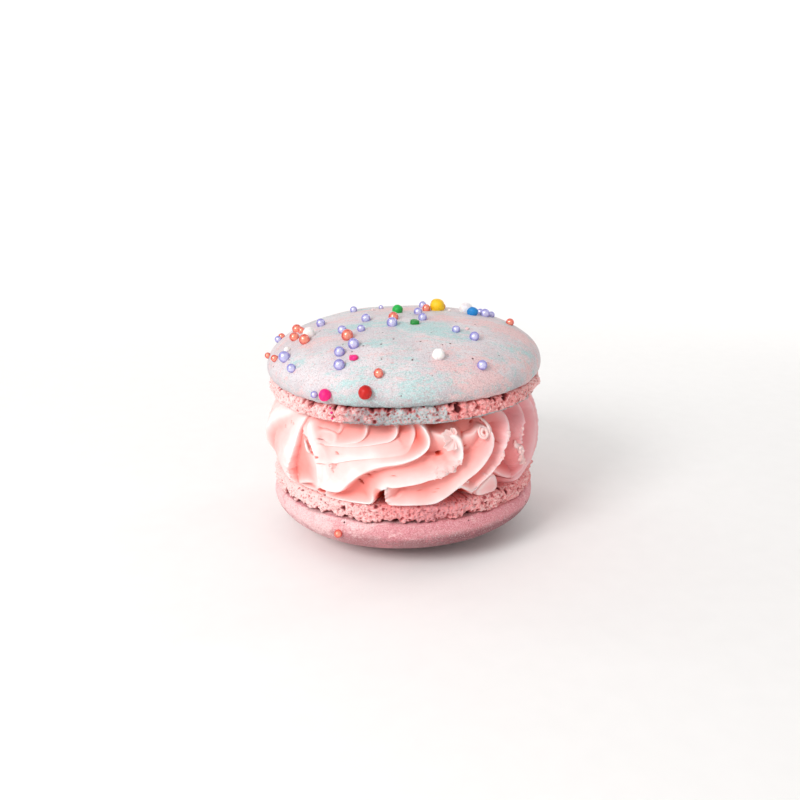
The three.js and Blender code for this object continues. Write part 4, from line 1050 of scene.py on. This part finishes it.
def fan(around, height, inset, radius, first, last, lift):
    """A thin pleated leaf: each section runs out from the fan's middle to its rim on one face and back on
    the other. The rim stands off by lift times share ** 1.5, and the pleats are a sine wave over the
    direction."""
    direction = np.radians(np.linspace(first, last, 60))[:, None]
    turn = np.linspace(0, 2 * math.pi, LEAF_SIDES, endpoint=False)[None, :]
    share = 0.06 + 0.94 * (1 - np.cos(turn)) / 2
    ragged = 1 + 0.1 * np.sin(7.3 * direction + 1) + 0.06 * np.sin(19 * direction)
    reach = radius * ragged * share * np.sqrt(np.sin(np.linspace(0.2, math.pi - 0.2, 60)))[:, None]
    pleat = 0.12 * share * np.sin(11 * direction)
    depth = inset - (inset + lift) * share**1.5 + pleat + 0.18 * np.sin(turn) + 0 * direction
    return side_point(np.stack([around + np.degrees(reach * np.cos(direction) / SIDE_RADIUS),
                                height + reach * np.sin(direction), depth], -1))


def joined(name, parts):
    """One mesh from several parts, and the number of the part that each of its points belongs to."""
    points, quads, ends = zip(*parts)
    starts = np.cumsum([0] + [len(some) for some in points])
    faces = [np.concatenate([some + start for some, start in zip(kind, starts)]) for kind in (quads, ends)]
    made = mesh_object(name, np.concatenate(points), *faces)
    return made, np.repeat(np.arange(len(parts)), np.diff(starts))


def unit_ball(rows, columns):
    """Points on a ball of radius 1, pole to pole, without its poles, as (rows, columns, 3)."""
    tilt = np.linspace(0, math.pi, rows + 2)[1:-1, None]
    turn = np.linspace(0, 2 * math.pi, columns, endpoint=False)[None, :]
    x, y = np.sin(tilt) * np.sin(turn), -np.sin(tilt) * np.cos(turn)
    return np.stack(np.broadcast_arrays(x, y, np.cos(tilt)), -1)


def crumb_parts(rng):
    """Dented balls along each run of crumbs, each on the spot where a ray from outside meets the side."""
    unit = unit_ball(6, 10)
    parts = []
    for start, end, count, diameter in CRUMB_RUNS:
        for share in (np.arange(count) + 0.5) / count:
            around, height = (1 - share) * np.array(start) + share * np.array(end) + rng.normal(0, STRAY)
            outside, axis_point = side_point(np.array([[around, height, depth] for depth in RAY_DEPTHS]))
            hit, where, _, _ = piped_cream.ray_cast(Vector(outside * MM), Vector(axis_point - outside))
            size = diameter * rng.uniform(0.6, 1.3) * rng.uniform(0.7, 1.3, 3) / 2
            dent = smooth_noise(unit.reshape(-1, 3) + 9.0 * len(parts), 0.8, 37).reshape(*unit.shape[:2], 1)
            if hit:
                parts.append(closed_tube(unit * (1 + 0.35 * dent) * size + np.array(where) / MM))
    return parts


bpy.context.view_layer.update()
thread_parts = [closed_tube(thread(*one)) for one in THREADS]
thread_parts += [closed_tube(thread(roll(*place), thick)) for *place, thick in ROLLS]
fan_parts = [closed_tube(fan(*one)) for one in FANS]
curl_parts = thread_parts + fan_parts + crumb_parts(np.random.default_rng(5))
cream_curls, part_of = joined("cream_curls", curl_parts)
store(cream_curls, "shade", np.where(part_of <= len(thread_parts), 0.3, 0.5))
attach(cream_curls, "root")
print("cream_curls from", len(curl_parts), "parts,", len(part_of), "points")

# %% [markdown]
# ## Whipped buttercream
# Butter beaten with sugar syrup and egg white holds countless tiny air bubbles, so it is silky and lets
# light in a little way. Crests are thin and full of light, so they are nearly white. In a channel light has
# bounced from pink to pink, and it looks coral, and dark red in the deepest gaps.

# %% Buttercream
# Painted shade: colour by how deep a place lies in the relief, in mm.
CREAM_DEEPEST = 4.6
CREAM_STOPS = [(0.0, "FFECEA"), (0.2, "FFDEDB"), (0.6, "FFC9C5"), (1.2, "FEB3AD"),
               (2.0, "FB9C94"), (3.0, "F17D72"), (3.8, "E0604F"), (4.5, "C8432F")]
# The colour of the painted shade on the right side.
RIGHT_SHADE_PINK = "DE94A4"

tree, place = new_material("whipped_buttercream", piped_cream, cream_curls)
shade, right_side_shade = [add(tree, "Attribute", attribute_name=kind, output="Fac") for kind in ("shade", "right_side_shade")]
tone = add(tree, "TexNoise", place, Scale=1 / 3.0, Detail=3.0)
silk = add(tree, "TexNoise", place, Scale=1 / 0.35, Detail=3.0)
uneven = add(tree, "Math", tone, 0.7, -0.35, operation="MULTIPLY_ADD")
in_shade = add(tree, "Math", shade, uneven, operation="ADD")
by_depth = add(tree, "ValToRGB", add(tree, "Math", in_shade, CREAM_DEEPEST, operation="DIVIDE"))
stops = by_depth.node.color_ramp.elements
while len(stops) < len(CREAM_STOPS):
    stops.new(0.5)
for element, (at_depth, tint) in zip(stops, CREAM_STOPS):
    element.position = at_depth / CREAM_DEEPEST
    element.color = linear(tint)
finish_material(tree, {
    "Base Color": add(tree, "MixRGB", right_side_shade, by_depth, linear(RIGHT_SHADE_PINK)), "Roughness": 0.42,
    "Specular IOR Level": 0.35, "Subsurface Weight": 0.35, "Subsurface Radius": (1.0, 0.55, 0.5),
    "Subsurface Scale": 0.7 * MM,
    "Normal": add(tree, "Bump", Height=silk, Strength=0.25, Distance=0.05 * MM),
})
print("buttercream with", len(tree.nodes), "nodes")

# %% [markdown]
# ## Sugar pearls and balls
# The sprinkles are sugar balls tumbled in a drum. Pearls got a pearlescent glaze, lavender or coral, and
# the larger balls a dull waxy coat in bright colours. They were strewn by hand while the skin was still
# tacky, so each sits a little way in. Each is placed by its azimuth and distance on the cap and dropped
# onto the skin along its slope.

# %% Where the sprinkles lie
# Azimuth in degrees from the front, distance from the axis and diameter in mm.
CORAL_PEARLS = [
    (-88.2, 19.0, 1.8), (-80.4, 18.2, 1.3), (-73.7, 19.7, 1.7), (-60.9, 19.1, 1.95), (-96, 22.4, 1.3),
    (-69.7, 23.8, 1.3), (-85, 24.5, 1.15), (-36.0, 15.5, 2.1), (-9.4, 23.3, 1.6), (-18.0, 4.8, 1.8),
    (126.6, 5.6, 1.55), (94.0, 19.7, 1.5),
]
LAVENDER_PEARLS = [
    (-94.4, 22.9, 1.35), (-60.6, 23.0, 1.95), (-50.5, 23.9, 1.5), (-79.9, 14.7, 1.65), (-56.3, 7.6, 1.65),
    (-35.5, 12.0, 1.4), (-48.4, 13.7, 1.55), (-26.5, 17.8, 1.9), (-30.5, 20.0, 1.8), (-26.7, 22.4, 1.8),
    (-34.6, 25.0, 1.2), (-124.4, 11.0, 1.35), (-152.6, 8.6, 0.9), (-11.4, 8.5, 1.85), (154.7, 9.3, 1.5),
    (86.8, 2.9, 1.55), (36.3, 6.1, 1.6), (40.1, 14.1, 1.4), (42.8, 17.6, 1.7), (32.5, 23.3, 1.6),
    (108.1, 15.3, 1.35), (100.6, 15.5, 1.8), (104.4, 17.1, 1.3),
]
SUGAR_BALLS = [
    (-65.3, 17.7, 2.2, "F4F1EE"), (-65.3, 21.9, 1.1, "F6F2F0"), (15.9, 20.6, 1.95, "F8F6F4"),
    (107.9, 12.4, 2.5, "F3EEEE"), (-29.3, 25.0, 2.0, "FC0A80"), (-13.6, 24.9, 2.2, "C80F06"),
    (133.9, 10.6, 1.3, "C02A1E"), (-146.5, 1.4, 1.9, "12B045"), (122.6, 7.8, 2.8, "FAC800"),
    (97.6, 13.0, 1.9, "0E86D0"), (112.2, 9.5, 0.5, "F4E4E2"), (50.5, 14.4, 0.6, "F1C9C9"),
    (-134.8, 7.7, 0.5, "F4DCDC"), (-28.9, 25.2, 0.34, "FC1A88"), (-28.1, 25.2, 0.45, "FC1A88"),
    (-28.5, 25.2, 0.36, "FC1A88"),
]
SUGAR_CHIPS = [(-22.2, 20.7, 1.35, "F5237F"), (16.4, 7.9, 1.45, "0F8F30")]
STREWN = {"count": 10, "from": 138, "to": 206, "inner": 22.4, "outer": 24.6, "apart": 2.7, "seed": 7}
SUNK = 0.5  # share of its radius that a ball is sunk


def strewn_places():
    """Azimuth and distance of the sprinkles on the far side: a fixed chain of random numbers, each the last
    one times 1103515245 plus 12345, within 2 ** 31, of which those too near to an earlier one are passed
    over."""
    state = STREWN["seed"]
    places = []
    while len(places) < STREWN["count"]:
        draws = []
        for _ in range(2):
            state = (state * 1103515245 + 12345) % 2**31
            draws.append(state / 2**31)
        around = STREWN["from"] + (STREWN["to"] - STREWN["from"]) * draws[0]
        out = math.sqrt(STREWN["inner"] ** 2 + (STREWN["outer"] ** 2 - STREWN["inner"] ** 2) * draws[1])
        spot = out * np.array([math.sin(math.radians(around)), -math.cos(math.radians(around))])
        if all(np.hypot(*(spot - other[2])) > STREWN["apart"] for other in places):
            places.append((around, out, spot))
    return [(around, out) for around, out, _ in places]


far_places = strewn_places()
LAVENDER_PEARLS += [(*spot, 1.6) for i, spot in enumerate(far_places) if i % 6 != 0 and i % 2 == 0]
CORAL_PEARLS += [(*spot, 1.6) for i, spot in enumerate(far_places) if i % 6 != 0 and i % 2 == 1]
SUGAR_BALLS += [(*spot, 2.0, tint) for spot, tint in zip(far_places[::6], ("F6F3F1", "FAC800", "F00F80"))]
print(len(LAVENDER_PEARLS), "lavender and", len(CORAL_PEARLS), "coral pearls,", len(SUGAR_BALLS), "balls")

# %% Balls on the skin
BALL_ROWS, BALL_COLUMNS = 17, 26
# Height in mm of the balls that lie on the rim's side or on the foot, by their azimuth.
SIDE_DROP = {-34.6: -0.1, -29.3: 0.15, -13.6: 1.0, -28.9: -2.3, -28.1: -2.9, -28.5: -3.9}
SIDE_SLOPE = 8.0  # of the ray that drops them


def skin_spot(piece, place, shell, around, out, height=None):
    """Where a sprinkle touches a shell, and the slope there: a ray is cast inwards along the smooth cap's
    normal."""
    turn = math.radians(around)
    level = float(dome_height(shell, out)) if height is None else height
    behind = float(dome_height(shell, max(out - 0.2, 0)))
    rise = (behind - level) / 0.2 if height is None else SIDE_SLOPE
    outward = np.array([rise * math.sin(turn), -rise * math.cos(turn), 1.0])
    outward /= np.linalg.norm(outward)
    spot = np.array([out * math.sin(turn), -out * math.cos(turn), level])
    start, nearer = place(np.array([spot + 6 * outward, spot + 5 * outward]))
    hit, where, normal, _ = piece.ray_cast(Vector(start * MM), Vector(nearer - start))
    if not hit:
        return nearer - 5 * (start - nearer), start - nearer
    return np.array(where) / MM, np.array(normal)


def sprinkles(name, slot, places, piece, place, shell, dent, squareness=1.0, flat=1.0):
    """Balls joined in one mesh. Each is a unit ball, dented by smooth noise, turned at random, and for
    chips squared off and flattened, scaled to its diameter and sunk into the skin."""
    grid, quads, ends = closed_rows(unit_ball(BALL_ROWS, BALL_COLUMNS))
    grid = np.concatenate([grid[:-2], [[0, 0, 1], [0, 0, -1]]])
    shaped = np.sign(grid) * np.abs(grid) ** squareness
    rng = np.random.default_rng(len(places))
    parts = []
    for i, (around, out, diameter, *_) in enumerate(places):
        where, normal = skin_spot(piece, place, shell, around, out, SIDE_DROP.get(around))
        turn = np.linalg.qr(rng.normal(size=(3, 3)))[0] if flat == 1.0 else np.eye(3)
        turn = turn * np.sign(np.linalg.det(turn))
        uneven = 1 + dent * smooth_noise(grid + 10.0 * i, 0.7, 81)
        ball = (shaped * uneven[:, None]) @ turn * np.array([1, 1, flat]) * diameter / 2
        ball = ball * (1 + 0.05 * rng.uniform(-1, 1, 3))
        parts.append((ball + where + normal * (1 - SUNK) * flat * diameter / 2, quads, ends))
    made, _ = joined(name, parts)
    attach(made, "root")
    print(name, len(places), "pieces of", len(grid), "points")
    return made


def paint(piece, places):
    """Gives each ball of a joined piece its own colour, kept at its points."""
    each = len(piece.data.vertices) // len(places)
    tints = np.repeat([linear(tint) for *_, tint in places], each, axis=0)
    attribute = piece.data.attributes.new("tint", "FLOAT_COLOR", "POINT")
    attribute.data.foreach_set("color", tints.astype(np.float32).ravel())


bpy.context.view_layer.update()
on_upper = (upper_meringue, place_upper, UPPER)
on_lower = (lower_meringue, place_lower, LOWER)
pearls_lavender = sprinkles("pearls_lavender", "sugar_pearl", LAVENDER_PEARLS, *on_upper, dent=0.03)
pearls_coral = sprinkles("pearls_coral", "sugar_pearl", CORAL_PEARLS, *on_upper, dent=0.03)
sugar_balls = sprinkles("sugar_balls", "nonpareil", SUGAR_BALLS, *on_upper, dent=0.08)
sugar_chips = sprinkles("sugar_chips", "nonpareil", SUGAR_CHIPS, *on_upper, dent=0.3, squareness=0.55,
                        flat=0.55)
lower_pearl = sprinkles("lower_pearl", "sugar_pearl", [(-153.6, 24.2, 1.5)], *on_lower, dent=0.03)
paint(sugar_balls, SUGAR_BALLS)
paint(sugar_chips, SUGAR_CHIPS)

# %% [markdown]
# ## Pearl glaze and wax coat
# Pearl glaze is mica flakes in shellac: a soft metallic sheen under a clear gloss, and a painted sheen makes
# its colour paler where it faces the camera. The bright balls are coated with coloured sugar and carnauba
# wax, which gives a dull gloss with fine scuffs.

# %% Pearl glaze
def pearl_glaze(name, pieces, tint, pale):
    """Mica glaze on sugar: pale where it faces the camera, as a painted sheen, and full in tint towards the
    edges, under a thin clear coat."""
    tree, place = new_material(name, *pieces)
    mottle = add(tree, "TexNoise", place, Scale=1 / 0.5, Detail=3.0)
    # Painted sheen: the colour is paler where the pearl faces the camera.
    facing = add(tree, "LayerWeight", Blend=0.35, output="Facing")
    turned = add(tree, "Math", mottle, 0.5, facing, operation="MULTIPLY_ADD")
    finish_material(tree, {
        "Base Color": layered(tree, linear(pale), [(turned, 0.25, 0.65, 1.0, linear(tint))]),
        "Roughness": 0.35, "Metallic": 0.3, "Coat Weight": 1.0, "Coat Roughness": 0.08, "Coat IOR": 1.8,
        "Normal": add(tree, "Bump", Height=mottle, Strength=0.3, Distance=0.06 * MM)})
    print(name, "on", len(pieces), "pieces")


pearl_glaze("pearl_glaze_lavender", [pearls_lavender], "7F78D2", "D3D0F6")
pearl_glaze("pearl_glaze_coral", [pearls_coral, lower_pearl], "DE2C0C", "FF967A")

# %% Wax coat
for piece in (sugar_balls, sugar_chips):
    tree, place = new_material("waxed_sugar_coat_" + piece.name, piece)
    tint = add(tree, "Attribute", attribute_name="tint", output="Color")
    scuff = add(tree, "TexNoise", place, Scale=1 / 0.18, Detail=3.0)
    patch = add(tree, "TexNoise", place, Scale=1 / 0.8, Detail=2.0)
    worn = add(tree, "MapRange", patch, 0.4, 0.75, 0.0, 0.2, **SMOOTH)
    finish_material(tree, {
        "Base Color": add(tree, "MixRGB", worn, tint, linear("3A2A2A"), blend_type="MULTIPLY"),
        "Roughness": add(tree, "MapRange", scuff, 0.3, 0.7, 0.35, 0.6, **SMOOTH),
        "Subsurface Weight": 0.1, "Subsurface Scale": 0.4 * MM,
        "Normal": add(tree, "Bump", Height=scuff, Strength=0.8, Distance=0.06 * MM)})
    print(piece.name, "waxed")

# %% [markdown]
# ## Floor
# Matte white card, with the faintest mottle of its pulp.

# %% Floor material
tree, place = new_material("matte_white_card", floor)
pulp = add(tree, "TexNoise", place, Scale=1 / 4.0, Detail=4.0)
card = add(tree, "MixRGB", pulp, linear("F4F3F2"), linear("F8F7F6"))
finish_material(tree, {"Base Color": card, "Roughness": 0.9, "Specular IOR Level": 0.1})
print("floor of matte white card")
